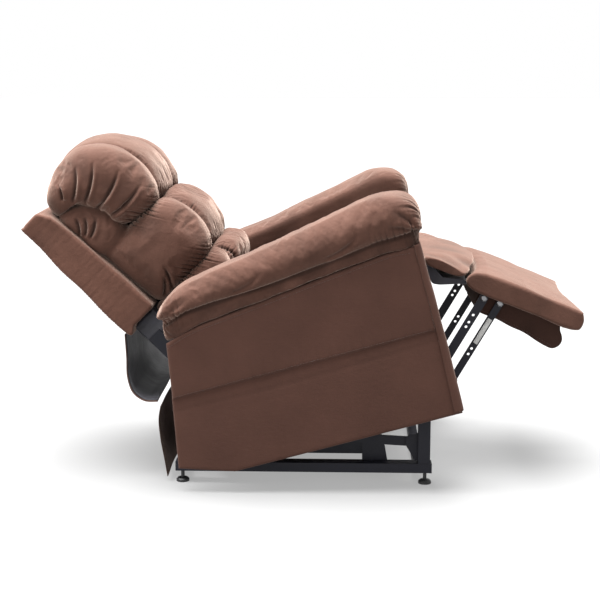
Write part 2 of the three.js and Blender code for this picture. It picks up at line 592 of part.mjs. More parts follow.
// The tube that the back turns on, with its arms to the lower frame and the recline crank.
function backHingeTube() {
  const y = across(SEAT_RAIL_Y[0] - GAP);
  const tube = round([0, 0], TUBE, y);
  const stubs = SIDES.map(([, sign]) => round([0, 0], PIN, onSide(sign, [SEAT_RAIL_Y[0] - 2, SEAT_RAIL_Y[1] - 1])));
  const arms = SIDES.map(([, sign]) => block([-12, 30], onSide(sign, layer(SEAT_RAIL_Y[0] - 7, PLATE)), [0, 150]));
  const crank = slab(barOutline([0, 0], RECLINE_CRANK_END, 11),
    [RECLINE_MOTOR_SIDE - 4, RECLINE_MOTOR_SIDE + 4]);
  return joined(tube, ...stubs, ...arms, crank);
}

// The crank hangs straight down in the seat frame's own directions.
const RECLINE_CRANK_END = polar([0, 0], -90 - (BACK_LEAN - SEAT_TILT), RECLINE_CRANK);

function buildBack() {
  const back = new THREE.Group();
  back.add(named('back_shell', backShell(), FABRIC));
  back.add(named('back_lower_frame', backLowerFrame(), LINING));
  back.add(named('back_hinge_tube', backHingeTube(), BLACK_STEEL));
  back.add(named('head_cushion', headCushion(), FABRIC));
  back.add(named('mid_cushion', midCushion(), FABRIC));
  back.add(named('lumbar_cushion', lumbarCushion(), FABRIC));
  back.position.set(BACK_HINGE[0], 0, BACK_HINGE[1]);
  back.rotation.y = -turned(BACK_LEAN - SEAT_TILT);
  return back;
}

// ---------- cloth at the rear, as thin closed solids ----------
// A strip of cloth along a line of points, as thick as cloth is.
function clothStrip(points, halfWidth, thickness) {
  const curve = new THREE.CatmullRomCurve3(points.map(([x, z]) => new THREE.Vector3(x, z, 0)));
  const samples = curve.getPoints(16);
  const normals = samples.map((_, i) => {
    const tangent = curve.getTangent(i / 16);
    return [-tangent.y * thickness / 2, tangent.x * thickness / 2];
  });
  const one = samples.map((p, i) => [p.x + normals[i][0], p.y + normals[i][1]]);
  const other = samples.map((p, i) => [p.x - normals[i][0], p.y - normals[i][1]]).reverse();
  return slab([...one, ...other], across(halfWidth));
}

// Points in the upright world of the base, from the back to the floor.
const FLAP_LINE = [[-155, 404], [-152, 345], [-151, 290], [-137, 245], [-105, 221], [-68, 219]];
const SKIRT_LINE = [[-56, 214], [-62, 175], [-58, 120], [-48, 62], [-40, 14]];

function buildRearCloth() {
  const cloth = new THREE.Group();
  cloth.add(named('back_flap', clothStrip(FLAP_LINE, SEAT_HALF + 15, CLOTH), LINING));
  cloth.add(named('rear_skirt', clothStrip(SKIRT_LINE, BASE_RAIL_Y[1] - 10, CLOTH), LINING));
  return cloth;
}

// ---------- assembly ----------
function buildChair() {
  const chair = new THREE.Group();
  const tilted = new THREE.Group();
  tilted.rotation.y = -turned(SEAT_TILT);
  tilted.add(buildSeatFrame(), buildBack(), buildFootrest(), buildLegLinks());
  tilted.add(named('chaise_pad', chaisePad(), FABRIC));
  const crankEnd = [BACK_HINGE[0], BACK_HINGE[1] - RECLINE_CRANK];
  tilted.add(buildActuator('recline', RECLINE_MOTOR_PIVOT, crankEnd, RECLINE_MOTOR_SIDE, 108, 118, -1));
  chair.add(buildBase(), buildLift(), tilted, buildRearCloth());
  chair.add(buildActuator('lift', LIFT_MOTOR_PIVOT, LIFT_CRANK_END, LIFT_MOTOR_SIDE, 300, 270, -1));
  chair.updateMatrixWorld(true);
  const middle = new THREE.Box3().setFromObject(chair).getCenter(new THREE.Vector3());
  chair.position.x = -middle.x;
  return chair;
}

export default buildChair();
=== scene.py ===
"""Upholstery, finishes and fittings for a lift recliner chair, laid over its steel frame.

Every piece is made in metres where it lies when the chair is at rest: seat tilted back, back laid
down, footrest out.
"""

import math

import bmesh
import bpy
import numpy as np
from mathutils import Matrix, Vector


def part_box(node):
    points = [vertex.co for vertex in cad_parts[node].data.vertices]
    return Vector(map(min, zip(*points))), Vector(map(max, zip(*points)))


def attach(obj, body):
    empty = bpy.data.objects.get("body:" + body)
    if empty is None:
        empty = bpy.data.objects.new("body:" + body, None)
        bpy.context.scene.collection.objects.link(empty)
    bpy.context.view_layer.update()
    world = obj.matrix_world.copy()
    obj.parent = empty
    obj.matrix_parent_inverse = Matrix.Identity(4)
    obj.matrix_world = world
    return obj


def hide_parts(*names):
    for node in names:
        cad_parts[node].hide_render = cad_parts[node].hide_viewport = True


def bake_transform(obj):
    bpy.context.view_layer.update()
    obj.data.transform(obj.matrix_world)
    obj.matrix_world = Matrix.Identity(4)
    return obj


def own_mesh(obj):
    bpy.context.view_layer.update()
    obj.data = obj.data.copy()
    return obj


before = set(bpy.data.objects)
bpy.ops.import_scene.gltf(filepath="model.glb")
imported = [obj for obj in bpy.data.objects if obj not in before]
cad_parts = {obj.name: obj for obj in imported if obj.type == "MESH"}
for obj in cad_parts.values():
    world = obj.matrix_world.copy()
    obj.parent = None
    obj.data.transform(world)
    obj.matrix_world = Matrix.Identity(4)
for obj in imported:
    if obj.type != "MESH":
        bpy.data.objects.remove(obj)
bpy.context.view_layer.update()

bl_info = {
    "name": "Lift Recliner Upholstery",
    "version": (1, 0, 0),
    "blender": (4, 5, 0),
    "location": "3D View > Sidebar > Recliner",
    "description": "Covers the frame of a lift recliner with its pillows, panels, cloth and fittings",
    "category": "Object",
}

MM = 0.001
SIDES = (("right", -1), ("left", 1))


# ---------------------------------------------------------------- directions

class Directions:
    """A level of its own in the chair's side plane: an origin and a slope, in degrees."""

    def __init__(self, origin, slope):
        turn = math.radians(slope)
        self.origin = np.array(origin, float)
        self.axes = np.array([(math.cos(turn), 0, math.sin(turn)), (0, 1, 0),
                              (-math.sin(turn), 0, math.cos(turn))])

    def place(self, points):
        """Points as (forwards, across, up) in millimetres, placed in the chair in metres."""
        return self.origin + np.asarray(points, float) * MM @ self.axes

    def local(self, placed):
        """The way back: (forwards, across, up) in millimetres."""
        return (np.asarray(placed, float) - self.origin) @ self.axes.T / MM


def rear_foot_centre():
    """Where the rear levelling foot stands, from the frame."""
    low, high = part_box("levelling_foot_rear_right")
    return (low.x + high.x) / 2


FOOT_SETBACK = 2                    # the rear feet stand this far in front of the base's zero
SEAT_TILT = 15.5
BACK_SLOPE = 45
FOOTREST_SLOPE = -20.4
BASE = Directions((rear_foot_centre() - FOOT_SETBACK * MM, 0, 0), 0)
SEAT = Directions(BASE.origin, SEAT_TILT)
BACK = Directions(SEAT.place((97, 0, 274)), BACK_SLOPE)
REST = Directions(SEAT.place((935, 0, 269)), FOOTREST_SLOPE)


# ---------------------------------------------------------------- lines and meshes

def smooth_line(points, count, closed=False):
    """Points at even steps along a smooth curve through the given ones."""
    knots = np.array(points, float)
    if closed:
        knots = np.vstack((knots[-1], knots, knots[0], knots[1]))
    else:
        knots = np.vstack((2 * knots[0] - knots[1], knots, 2 * knots[-1] - knots[-2]))
    fine = []
    for before, start, end, after in zip(knots, knots[1:], knots[2:], knots[3:]):
        for share in np.arange(0, 1, 1 / 24):
            a = 2 * start
            b = (end - before) * share
            c = (2 * before - 5 * start + 4 * end - after) * share ** 2
            d = (3 * start - before - 3 * end + after) * share ** 3
            fine.append((a + b + c + d) / 2)
    fine.append(knots[-2] if not closed else knots[1])
    fine = np.array(fine)
    run = np.concatenate(([0], np.cumsum(np.linalg.norm(np.diff(fine, axis=0), axis=1))))
    steps = np.linspace(0, run[-1], count + 1)[:-1] if closed else np.linspace(0, run[-1], count)
    return np.column_stack([np.interp(steps, run, fine[:, k]) for k in range(fine.shape[1])])


def tube_faces(rings, around):
    """Quads between closed rings, one ring after another."""
    first = np.arange(around)
    after = (first + 1) % around
    faces = []
    for ring in range(rings - 1):
        here, there = ring * around, (ring + 1) * around
        faces += np.column_stack((here + first, here + after, there + after, there + first)).tolist()
    return faces


def loft(rings):
    """A closed body through closed rings, drawn to a point in the middle of both ends."""
    rings = np.asarray(rings, float)
    count, around = rings.shape[:2]
    tips = np.vstack((rings[0].mean(0), rings[-1].mean(0)))
    points = np.vstack((rings.reshape(-1, 3), tips))
    faces = tube_faces(count, around)
    last = (count - 1) * around
    for j in range(around):
        k = (j + 1) % around
        faces.append((count * around, k, j))
        faces.append((count * around + 1, last + j, last + k))
    return points, faces


def together(bodies):
    """Several bodies' points and faces as one list of each."""
    points, faces, base = [], [], 0
    for body_points, body_faces in bodies:
        points.append(body_points)
        faces += [tuple(i + base for i in face) for face in body_faces]
        base += len(body_points)
    return np.vstack(points), faces


def new_piece(name, body, finish):
    """A smooth mesh object with its faces turned outwards."""
    points, faces = body
    mesh = bpy.data.meshes.new(name)
    mesh.from_pydata(np.asarray(points, float).tolist(), [], faces)
    shape = bmesh.new()
    shape.from_mesh(mesh)
    bmesh.ops.remove_doubles(shape, verts=shape.verts, dist=1e-6)
    bmesh.ops.recalc_face_normals(shape, faces=shape.faces)
    shape.to_mesh(mesh)
    shape.free()
    mesh.materials.append(finish)
    mesh.polygons.foreach_set("use_smooth", [True] * len(mesh.polygons))
    piece = bpy.data.objects.new(name, mesh)
    bpy.context.scene.collection.objects.link(piece)
    return piece


def points_of(piece):
    """A piece's vertices as an array."""
    flat = np.empty(len(piece.data.vertices) * 3)
    piece.data.vertices.foreach_get("co", flat)
    return flat.reshape(-1, 3)


def set_points(piece, points):
    """Moves a piece's vertices."""
    piece.data.vertices.foreach_set("co", points.ravel())
    piece.data.update()


def normals_of(piece):
    """The outward direction at each vertex."""
    flat = np.empty(len(piece.data.vertices) * 3)
    piece.data.vertex_normals.foreach_get("vector", flat)
    return flat.reshape(-1, 3)


def bake_modifiers(piece):
    """Makes the result of a piece's modifiers its own mesh."""
    graph = bpy.context.evaluated_depsgraph_get()
    mesh = bpy.data.meshes.new_from_object(piece.evaluated_get(graph), depsgraph=graph)
    piece.modifiers.clear()
    piece.data = mesh
    mesh.polygons.foreach_set("use_smooth", [True] * len(mesh.polygons))


def remesh(piece, voxel):
    """Turns overlapping closed bodies into one, with even faces."""
    step = piece.modifiers.new("Even", "REMESH")
    step.mode = "VOXEL"
    step.voxel_size = voxel * MM
    bake_modifiers(piece)


def smooth(piece, times, factor=0.5):
    """Relaxes the surface."""
    step = piece.modifiers.new("Relax", "SMOOTH")
    step.factor = factor
    step.iterations = times
    bake_modifiers(piece)


def subdivide(piece):
    """Splits every face in four, on a smooth surface."""
    step = piece.modifiers.new("Finer", "SUBSURF")
    step.levels = step.render_levels = 1
    bake_modifiers(piece)


def swell(piece, held, cap, pressure=4.0, frames=16, slack=0.0):
    """Blows the cover up like a filled cushion. held says how firmly each point stays, 0 to 1."""
    start = points_of(piece)
    group = piece.vertex_groups.new(name="sewn")
    level = np.round(held * 4).astype(int)
    for step in range(1, 5):
        group.add(np.flatnonzero(level == step).tolist(), step / 4, "REPLACE")
    cloth = piece.modifiers.new("Cover", "CLOTH")
    cover = cloth.settings
    cover.use_pressure = True
    cover.uniform_pressure_force = pressure
    cover.vertex_group_mass = group.name
    cover.effector_weights.gravity = 0
    cover.quality = 4
    cover.mass = 0.3
    cover.tension_stiffness = 15
    cover.compression_stiffness = 15
    cover.bending_stiffness = 0.4
    cover.shrink_min = -slack
    cloth.point_cache.frame_start = 1
    cloth.point_cache.frame_end = frames
    for number in range(1, frames + 1):
        bpy.context.scene.frame_set(number)
    bake_modifiers(piece)
    bpy.context.scene.frame_set(1)
    moved = points_of(piece) - start
    distance = np.linalg.norm(moved, axis=1, keepdims=True)
    limit = cap * MM
    set_points(piece, start + moved * np.minimum(1, limit / np.maximum(distance, 1e-9)))
    piece.vertex_groups.clear()


# ---------------------------------------------------------------- shapes of soft pieces

def lobe(level, profile, middle, half, edge=0.7, draw=0.6, heart=None, around=96, stations=26):
    """A filled shape: a side profile carried across the chair and drawn in at both ends.

    profile holds (forwards, up) points of the widest section; heart is what the ends draw in
    to, the middle of the profile or a function of its points.
    """
    loop = smooth_line(profile, around, closed=True)
    hearts = loop.mean(0) if heart is None else heart(loop)
    rings = []
    for turn in np.linspace(-math.pi / 2, math.pi / 2, stations + 2)[1:-1]:
        out = math.copysign(abs(math.sin(turn)) ** edge, turn)
        ring = hearts + (loop - hearts) * math.cos(turn) ** draw
        across = np.full(around, middle + half * out)
        rings.append(level.place(np.column_stack((ring[:, 0], across, ring[:, 1]))))
    return loft(rings)


def tucks(along, reach, spacing, length, depth, seed):
    """How far short folds press in. along runs down the seam and reach away from it, in mm."""
    draw = np.random.default_rng(seed)
    strength, span, shift = draw.uniform((0.25, 0.45, -0.22), (1, 1.3, 0.22), (64, 3)).T
    place = along / spacing
    cell = np.floor(place).astype(int)
    pick = cell % 64
    off = place - cell - 0.5 + shift[pick]
    fold = np.exp(-(off / 0.14) ** 2) - 0.45 * np.exp(-((np.abs(off) - 0.3) / 0.12) ** 2)
    return depth * strength[pick] * fold * np.exp(-np.abs(reach) / (length * span[pick]))


def crease_line(points, start, end, width, depth):
    """How far one sharp fold between two points of a plane presses in, in mm."""
    start, end = np.array(start, float), np.array(end, float)
    run = end - start
    size = np.linalg.norm(run)
    offset = points - start
    share = offset @ run / size ** 2
    side = (offset[:, 0] * run[1] - offset[:, 1] * run[0]) / size
    bow = side - 0.07 * size * np.clip(4 * share * (1 - share), 0, 1)
    fade = np.clip(share * 5 + 0.7, 0, 1) * np.clip((1.12 - share) * 2.2, 0, 1)
    valley = np.exp(-(bow / width) ** 2)
    shoulder = 0.55 * np.exp(-((bow - 2 * width) / (1.5 * width)) ** 2)
    return depth * fade * (valley - shoulder) * (np.abs(share - 0.5) < 0.75)


def waves(points, length, seed):
    """A soft random unevenness between about -1 and 1, at one length in mm."""
    draw = np.random.default_rng(seed)
    total = np.zeros(len(points))
    for _ in range(7):
        direction = draw.normal(size=3)
        direction *= 2 * math.pi / (length * MM * np.linalg.norm(direction))
        total += np.sin(points @ direction + draw.uniform(0, 2 * math.pi))
    return total / 3.5


def press(piece, depth, mark=True):
    """Presses the surface in by depth in mm, and marks the folds so that the finish paints shade in them:
    the deeper a place is pressed in, the darker it is painted.
    """
    set_points(piece, points_of(piece) - normals_of(piece) * depth[:, None] * MM)
    if mark:
        # The fold mark is painted shade: the finish darkens each point by how deep it is pressed in.
        folds = piece.data.attributes.new("fold", "FLOAT", "POINT")
        folds.data.foreach_set("value", np.clip(depth / 5, 0, 1).astype(np.float32))


def edge_steps(length, lip, count):
    """Steps from 0 to 1 along a panel, close together where its edges roll."""
    near = np.array((0, 0.04, 0.16, 0.36, 0.64, 1)) * lip / length
    inner = np.linspace(near[-1], 1 - near[-1], count)
    return np.concatenate((near[:-1], inner, 1 - near[:-1][::-1]))


def padded_sheet(level, bottom, top, out, thickness, crown=2, lip=8, steps=(60, 30), seed=1, wave=0.5):
    """A cover over a board: a face with rolled edges between two lines, and a flat back.

    bottom and top are lists of (forwards, across, up); out is the direction that its face looks
    in, in the same terms.
    """
    bottom, top = (smooth_line(line, 200) for line in (bottom, top))
    wide = np.linalg.norm(bottom[-1] - bottom[0])
    high = np.linalg.norm(top[100] - bottom[100])
    a, b = edge_steps(wide, lip, steps[0]), edge_steps(high, lip, steps[1])
    pick = np.clip(a * 199, 0, 199)
    low, tall = ([np.interp(pick, np.arange(200), line[:, k]) for k in range(3)]
                 for line in (bottom, top))
    low, tall = np.column_stack(low), np.column_stack(tall)
    base = low[:, None] * (1 - b[None, :, None]) + tall[:, None] * b[None, :, None]
    side = np.minimum(a, 1 - a)[:, None] * wide
    end = np.minimum(b, 1 - b)[None, :] * high
    roll = [np.sqrt(1 - (1 - np.clip(d / lip, 0, 1)) ** 2) for d in (side, end)]
    bulge = (4 * a * (1 - a))[:, None] ** 0.5 * (4 * b * (1 - b))[None, :] ** 0.5
    placed = level.place(base.reshape(-1, 3))
    uneven = waves(placed, 160, seed).reshape(base.shape[:2]) * wave * bulge
    height = thickness * np.minimum(*roll) + crown * bulge + uneven
    face = base + np.array(out, float) * height[..., None]
    m, n = base.shape[:2]
    points = level.place(np.vstack((face.reshape(-1, 3), base.reshape(-1, 3))))
    faces = []
    for i in range(m - 1):
        for j in range(n - 1):
            quad = (i * n + j, (i + 1) * n + j, (i + 1) * n + j + 1, i * n + j + 1)
            faces.append(quad)
            faces.append(tuple(q + m * n for q in quad[::-1]))
    return points, faces


# ---------------------------------------------------------------- finishes

class Finish:
    """A material in the making."""

    def __init__(self, name, values):
        self.material = bpy.data.materials.new(name)
        self.material.use_nodes = True
        self.nodes = self.material.node_tree.nodes
        self.links = self.material.node_tree.links
        self.shader = next(n for n in self.nodes if n.type == "BSDF_PRINCIPLED")
        for socket, value in values.items():
            self.shader.inputs[socket].default_value = value
        self.place = self.nodes.new("ShaderNodeTexCoord").outputs["Object"]

    def put(self, socket, value):
        """Gives a socket a number or another node's output."""
        if isinstance(value, bpy.types.NodeSocket):
            self.links.new(value, socket)
        else:
            socket.default_value = value

    def noise(self, scale, detail=3, rough=0.55, stretch=(1, 1, 1)):
        """Random unevenness, scale times a metre."""
        lie = self.nodes.new("ShaderNodeMapping")
        self.put(lie.inputs["Vector"], self.place)
        self.put(lie.inputs["Scale"], stretch)
        node = self.nodes.new("ShaderNodeTexNoise")
        self.put(node.inputs["Vector"], lie.outputs["Vector"])
        self.put(node.inputs["Scale"], scale)
        self.put(node.inputs["Detail"], detail)
        self.put(node.inputs["Roughness"], rough)
        return node.outputs["Fac"]

    def wave(self, scale, axis, distortion=0.0):
        """Even ribs along one axis, scale times a metre."""
        node = self.nodes.new("ShaderNodeTexWave")
        node.bands_direction = axis
        self.put(node.inputs["Vector"], self.place)
        self.put(node.inputs["Scale"], scale)
        self.put(node.inputs["Distortion"], distortion)
        return node.outputs["Fac"]

    def attribute(self, name):
        """A value kept at the piece's points."""
        node = self.nodes.new("ShaderNodeAttribute")
        node.attribute_name = name
        return node.outputs["Fac"]

    def span(self, value, low, high, start=0.0, end=1.0):
        """A value's range from low to high, stretched to start to end."""
        node = self.nodes.new("ShaderNodeMapRange")
        for socket, number in zip(node.inputs, (value, low, high, start, end)):
            self.put(socket, number)
        return node.outputs["Result"]

    def sum(self, a, b, kind="ADD"):
        """Two values added, or joined in another way."""
        node = self.nodes.new("ShaderNodeMath")
        node.operation = kind
        self.put(node.inputs[0], a)
        self.put(node.inputs[1], b)
        return node.outputs["Value"]

    def blend(self, share, start, end):
        """Two colours mixed by a share."""
        node = self.nodes.new("ShaderNodeMix")
        node.data_type = "RGBA"
        self.put(node.inputs["Factor"], share)
        for socket, colour in zip([s for s in node.inputs if s.type == "RGBA"], (start, end)):
            self.put(socket, colour)
        return next(s for s in node.outputs if s.type == "RGBA")

    def bump(self, height, distance, strength, under=None):
        """A relief, distance in metres, over another one."""
        node = self.nodes.new("ShaderNodeBump")
        self.put(node.inputs["Height"], height)
        self.put(node.inputs["Distance"], distance)
        self.put(node.inputs["Strength"], strength)
        if under is not None:
            self.put(node.inputs["Normal"], under)
        return node.outputs["Normal"]

    def close(self, colour, normal=None, roughness=None):
        """Joins up the shader and gives the material."""
        self.put(self.shader.inputs["Base Color"], colour)
        if normal is not None:
            self.put(self.shader.inputs["Normal"], normal)
        if roughness is not None:
            self.put(self.shader.inputs["Roughness"], roughness)
        return self.material


def tone(colour, factor):
    """A colour made lighter or darker."""
    return (*(min(1, c * factor) for c in colour[:3]), 1)


def brushed_microfibre(name, colour, sheen):
    """Soft suede-like cloth: patches of nap lying either way, short fibres, and painted shade in the
    folds.
    """
    made = Finish(name, {"Roughness": 0.92, "Specular IOR Level": 0.18, "Sheen Weight": sheen,
                         "Sheen Roughness": 0.42, "Sheen Tint": (0.95, 0.72, 0.6, 1)})
    patches = made.span(made.noise(13, 4, 0.62), 0.34, 0.66)
    strokes = made.span(made.noise(85, 3, 0.6, (1, 0.55, 1)), 0.3, 0.7)
    fibres = made.noise(1100, 2, 0.7)
    nap = made.blend(patches, tone(colour, 0.84), tone(colour, 1.15))
    brushed = made.blend(made.sum(strokes, 0.3, "MULTIPLY"), nap, tone(colour, 1.3))
    speckled = made.blend(made.span(fibres, 0.35, 0.75, 0, 0.35), brushed, tone(colour, 0.62))
    # Painted shade: the pressed-in folds are darkened towards about a third of the cloth colour.
    folds = made.span(made.attribute("fold"), 0, 1, 0, 0.75)
    relief = made.bump(strokes, 0.0009, 0.5)
    return made.close(made.blend(folds, speckled, tone(colour, 0.3)),
                      made.bump(fibres, 0.0006, 0.6, relief),
                      made.span(patches, 0, 1, 0.96, 0.86))


def panel_microfibre(name, colour):
    """The same cloth stretched over boards: finer, flatter, with a faint weave and painted shade in its
    folds.
    """
    made = Finish(name, {"Roughness": 0.9, "Specular IOR Level": 0.12, "Sheen Weight": 0.08,
                         "Sheen Roughness": 0.45, "Sheen Tint": (0.95, 0.74, 0.64, 1)})
    patches = made.span(made.noise(7, 4, 0.6), 0.35, 0.65)
    strokes = made.span(made.noise(60, 3, 0.6, (1, 1, 2.6)), 0.3, 0.7)
    weave = made.sum(made.wave(420, "Z"), made.wave(420, "X"))
    fibres = made.noise(1300, 2, 0.65)
    nap = made.blend(patches, tone(colour, 0.9), tone(colour, 1.1))
    brushed = made.blend(made.sum(strokes, 0.3, "MULTIPLY"), nap, tone(colour, 1.22))
    speckled = made.blend(made.span(fibres, 0.35, 0.75, 0, 0.3), brushed, tone(colour, 0.7))
    # Painted shade: the pressed-in folds and seam pulls are darkened towards about a third of the cloth
    # colour.
    folds = made.span(made.attribute("fold"), 0, 1, 0, 0.7)
    relief = made.bump(weave, 0.0002, 0.35, made.bump(strokes, 0.0005, 0.35))
    return made.close(made.blend(folds, speckled, tone(colour, 0.35)),
                      made.bump(fibres, 0.0005, 0.45, relief))


def satin_lining(name, colour):
    """Thin woven lining with a soft shine and small creases, painted darker in their hollows and lighter
    on their ridges as shade and highlight.
    """
    made = Finish(name, {"Roughness": 0.5, "Specular IOR Level": 0.45, "Sheen Weight": 0.1})
    weave = made.sum(made.wave(600, "Z"), made.wave(600, "Y"))
    creases = made.noise(34, 4, 0.6, (1, 2.5, 1))
    # Painted shade and highlight: the colour follows the crease relief, darker in its hollows and lighter
    # on its ridges.
    shade = made.blend(made.span(creases, 0.35, 0.65), tone(colour, 0.75), tone(colour, 1.35))
    relief = made.bump(creases, 0.004, 0.45)
    return made.close(shade, made.bump(weave, 0.0002, 0.4, relief),
                      made.span(creases, 0.3, 0.7, 0.42, 0.62))


def powder_coat(name, colour, roughness, speck=0.5):
    """Baked paint on steel: orange peel, a little dust, and patches rubbed lighter."""
    made = Finish(name, {"Specular IOR Level": 0.22})
    peel = made.noise(900, 2, 0.5)
    dust = made.span(made.noise(38, 5, 0.65), 0.48, 0.8, 0, speck)
    worn = made.span(made.noise(160, 3, 0.7), 0.62, 0.72, 0, 0.25)
    shade = made.blend(dust, tone(colour, 1), tone(colour, 1.9))
    return made.close(made.blend(worn, shade, tone(colour, 2.6)),
                      made.bump(peel, 0.0003, 0.35),
                      made.span(dust, 0, speck, roughness, roughness + 0.22))


def moulded_plastic(name, colour):
    """Matt plastic with a fine grain from the mould."""
    made = Finish(name, {"Specular IOR Level": 0.42})
    grain = made.noise(1500, 2, 0.5)
    marks = made.span(made.noise(55, 5, 0.7), 0.5, 0.75, 0, 0.5)
    return made.close(made.blend(marks, tone(colour, 1), tone(colour, 1.7)),
                      made.bump(grain, 0.0003, 0.5), made.span(marks, 0, 0.5, 0.45, 0.62))


def drawn_steel(name, colour):
    """Bright rod and pins, drawn lengthwise."""
    made = Finish(name, {"Metallic": 1.0})
    lines = made.noise(300, 3, 0.6, (1, 14, 14))
    stains = made.span(made.noise(40, 4, 0.6), 0.5, 0.75, 0, 0.5)
    return made.close(made.blend(stains, tone(colour, 1), tone(colour, 0.6)),
                      made.bump(lines, 0.0001, 0.3), made.span(lines, 0.3, 0.7, 0.2, 0.36))


def plywood(name, colour):
    """Board with long grain and darker growth lines."""
    made = Finish(name, {"Roughness": 0.65, "Specular IOR Level": 0.3})
    rings = made.wave(16, "Y", 5.0)
    grain = made.noise(220, 4, 0.65, (0.12, 1, 1))
    ringed = made.blend(made.span(rings, 0.2, 0.9), tone(colour, 1.1), tone(colour, 0.72))
    return made.close(made.blend(made.span(grain, 0.45, 0.7, 0, 0.45), ringed, tone(colour, 0.5)),
                      made.bump(grain, 0.0003, 0.4))


def sewing_thread(name, colour):
    """Matt twisted thread."""
    made = Finish(name, {"Roughness": 0.75, "Specular IOR Level": 0.3, "Sheen Weight": 0.2})
    twist = made.noise(2600, 2, 0.6)
    return made.close(made.blend(twist, tone(colour, 0.75), tone(colour, 1.3)),
                      made.bump(twist, 0.0002, 0.5))


def finish(name):
    """A finish that has been made, by name."""
    return bpy.data.materials[name]


def dress(node, name):
    """Gives a CAD node one of the finishes."""
    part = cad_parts[node]
    for place in part.material_slots:
        place.link = "OBJECT"
        place.material = finish(name)


# ---------------------------------------------------------------- sizes and colours to change

class ReclinerColours(bpy.types.PropertyGroup):
    """The colours that the chair is made in."""

    cloth: bpy.props.FloatVectorProperty(
        name="Pillow cloth", description="Brushed cloth of the pillows, arms and footrest",
        subtype="COLOR", size=4, min=0, max=1, default=(0.056, 0.0245, 0.0165, 1))
    panel: bpy.props.FloatVectorProperty(
        name="Panel cloth", description="Cloth stretched over the arm sides and boards",
        subtype="COLOR", size=4, min=0, max=1, default=(0.047, 0.0215, 0.0155, 1))
    lining: bpy.props.FloatVectorProperty(
        name="Lining", description="Thin cloth under the seat and behind the back",
        subtype="COLOR", size=4, min=0, max=1, default=(0.016, 0.015, 0.022, 1))
    steel: bpy.props.FloatVectorProperty(
        name="Steel paint", description="Baked paint on the base and the linkage",
        subtype="COLOR", size=4, min=0, max=1, default=(0.006, 0.006, 0.010, 1))


class ReclinerSizes(bpy.types.PropertyGroup):
    """The sizes of the upholstery that a maker would change."""

    voxel: bpy.props.FloatProperty(
        name="Mesh step", description="Size of a pillow's faces before the last split, in mm",
        default=5.0, min=3.5, max=9)
    gather: bpy.props.FloatProperty(
        name="Gather depth", description="How deep the cloth is gathered at a sewn channel, in mm",
        default=7.0, min=0, max=10)
    pitch: bpy.props.FloatProperty(
        name="Gather spacing", description="From one gather to the next, in mm",
        default=12.5, min=6, max=40)
    stitch: bpy.props.FloatProperty(
        name="Stitch length", description="Length of one stitch of the visible seams",
        unit="LENGTH", default=0.0055, min=0.002, max=0.012)
    thread: bpy.props.FloatProperty(
        name="Thread", description="Thickness of the sewing thread",
        unit="LENGTH", default=0.0012, min=0.0004, max=0.003)
    rivet: bpy.props.FloatProperty(
        name="Rivet", description="Radius of a rivet head on the linkage",
        unit="LENGTH", default=0.0075, min=0.003, max=0.012)


# ---------------------------------------------------------------- back pillows

CHANNEL = 150                       # the sewn channels, from the middle of the back
ROW_SEAMS = (206, 404)
# Side profiles in the back's own directions: forwards from the hinge, then up along the back.
HEAD_MIDDLE = ((70, 470), (60, 540), (50, 600), (62, 636), (110, 668), (163, 680), (205, 675),
               (252, 652), (288, 620), (311, 583), (325, 543), (329, 508), (323, 462), (309, 421),
               (285, 402), (200, 402), (110, 410))
HEAD_SIDE = ((52, 562), (58, 612), (80, 633), (105, 643), (150, 655), (207, 657), (248, 639),
             (281, 608), (304, 567), (313, 520), (309, 466), (292, 414), (262, 400), (200, 408),
             (160, 430), (150, 490), (118, 545), (91, 556))
MID_WING = ((62, 400), (56, 480), (48, 545), (62, 566), (91, 562), (120, 550), (146, 522),
            (160, 493), (170, 460), (165, 410), (120, 380))
MID_SIDE = ((64, 400), (68, 308), (76, 218), (98, 196), (144, 197), (206, 196), (262, 196),
            (293, 212), (309, 243), (319, 291), (316, 339), (303, 378), (281, 402), (200, 410),
            (120, 410))
MID_MIDDLE = ((70, 395), (72, 300), (84, 212), (120, 198), (200, 196), (285, 199), (311, 212),
              (326, 250), (338, 296), (337, 345), (321, 384), (298, 403), (200, 408), (110, 406))
LUMBAR_SIDE = ((64, 198), (62, 160), (90, 136), (150, 122), (220, 118), (272, 122), (297, 146),
               (302, 172), (290, 200), (240, 206), (150, 204))
LUMBAR_MIDDLE = ((64, 198), (62, 160), (90, 136), (150, 122), (240, 117), (312, 114), (340, 126),
                 (347, 150), (335, 186), (315, 205), (260, 208), (150, 204))
# Folds on the side faces, each from its tip to where it meets the seam.
HEAD_FOLDS = (((126, 615), (106, 584)), ((192, 617), (129, 563)), ((234, 590), (148, 537)),
              ((266, 527), (158, 501)), ((276, 460), (174, 460)))
MID_FOLDS = (((93, 521), (69, 486)), ((133, 486), (88, 460)), ((112, 505), (80, 474)),
             ((150, 240), (112, 206)), ((172, 262), (140, 208)))
LUMBAR_FOLDS = (((270, 150), (180, 150)),)


def row_lobes(middle, side, reach=288, wing=None):
    """The three filled channels of one row, out to a reach, and the wing behind the row above."""
    made = [lobe(BACK, middle, 0, 170, 0.85, 0.42)]
    for _, sign in SIDES:
        made.append(lobe(BACK, side, sign * (reach + 128) / 2, (reach - 128) / 2, 0.75, 0.4))
        if wing:
            made.append(lobe(BACK, wing, sign * 212, 70, 0.7, 0.42))
    return together(made)


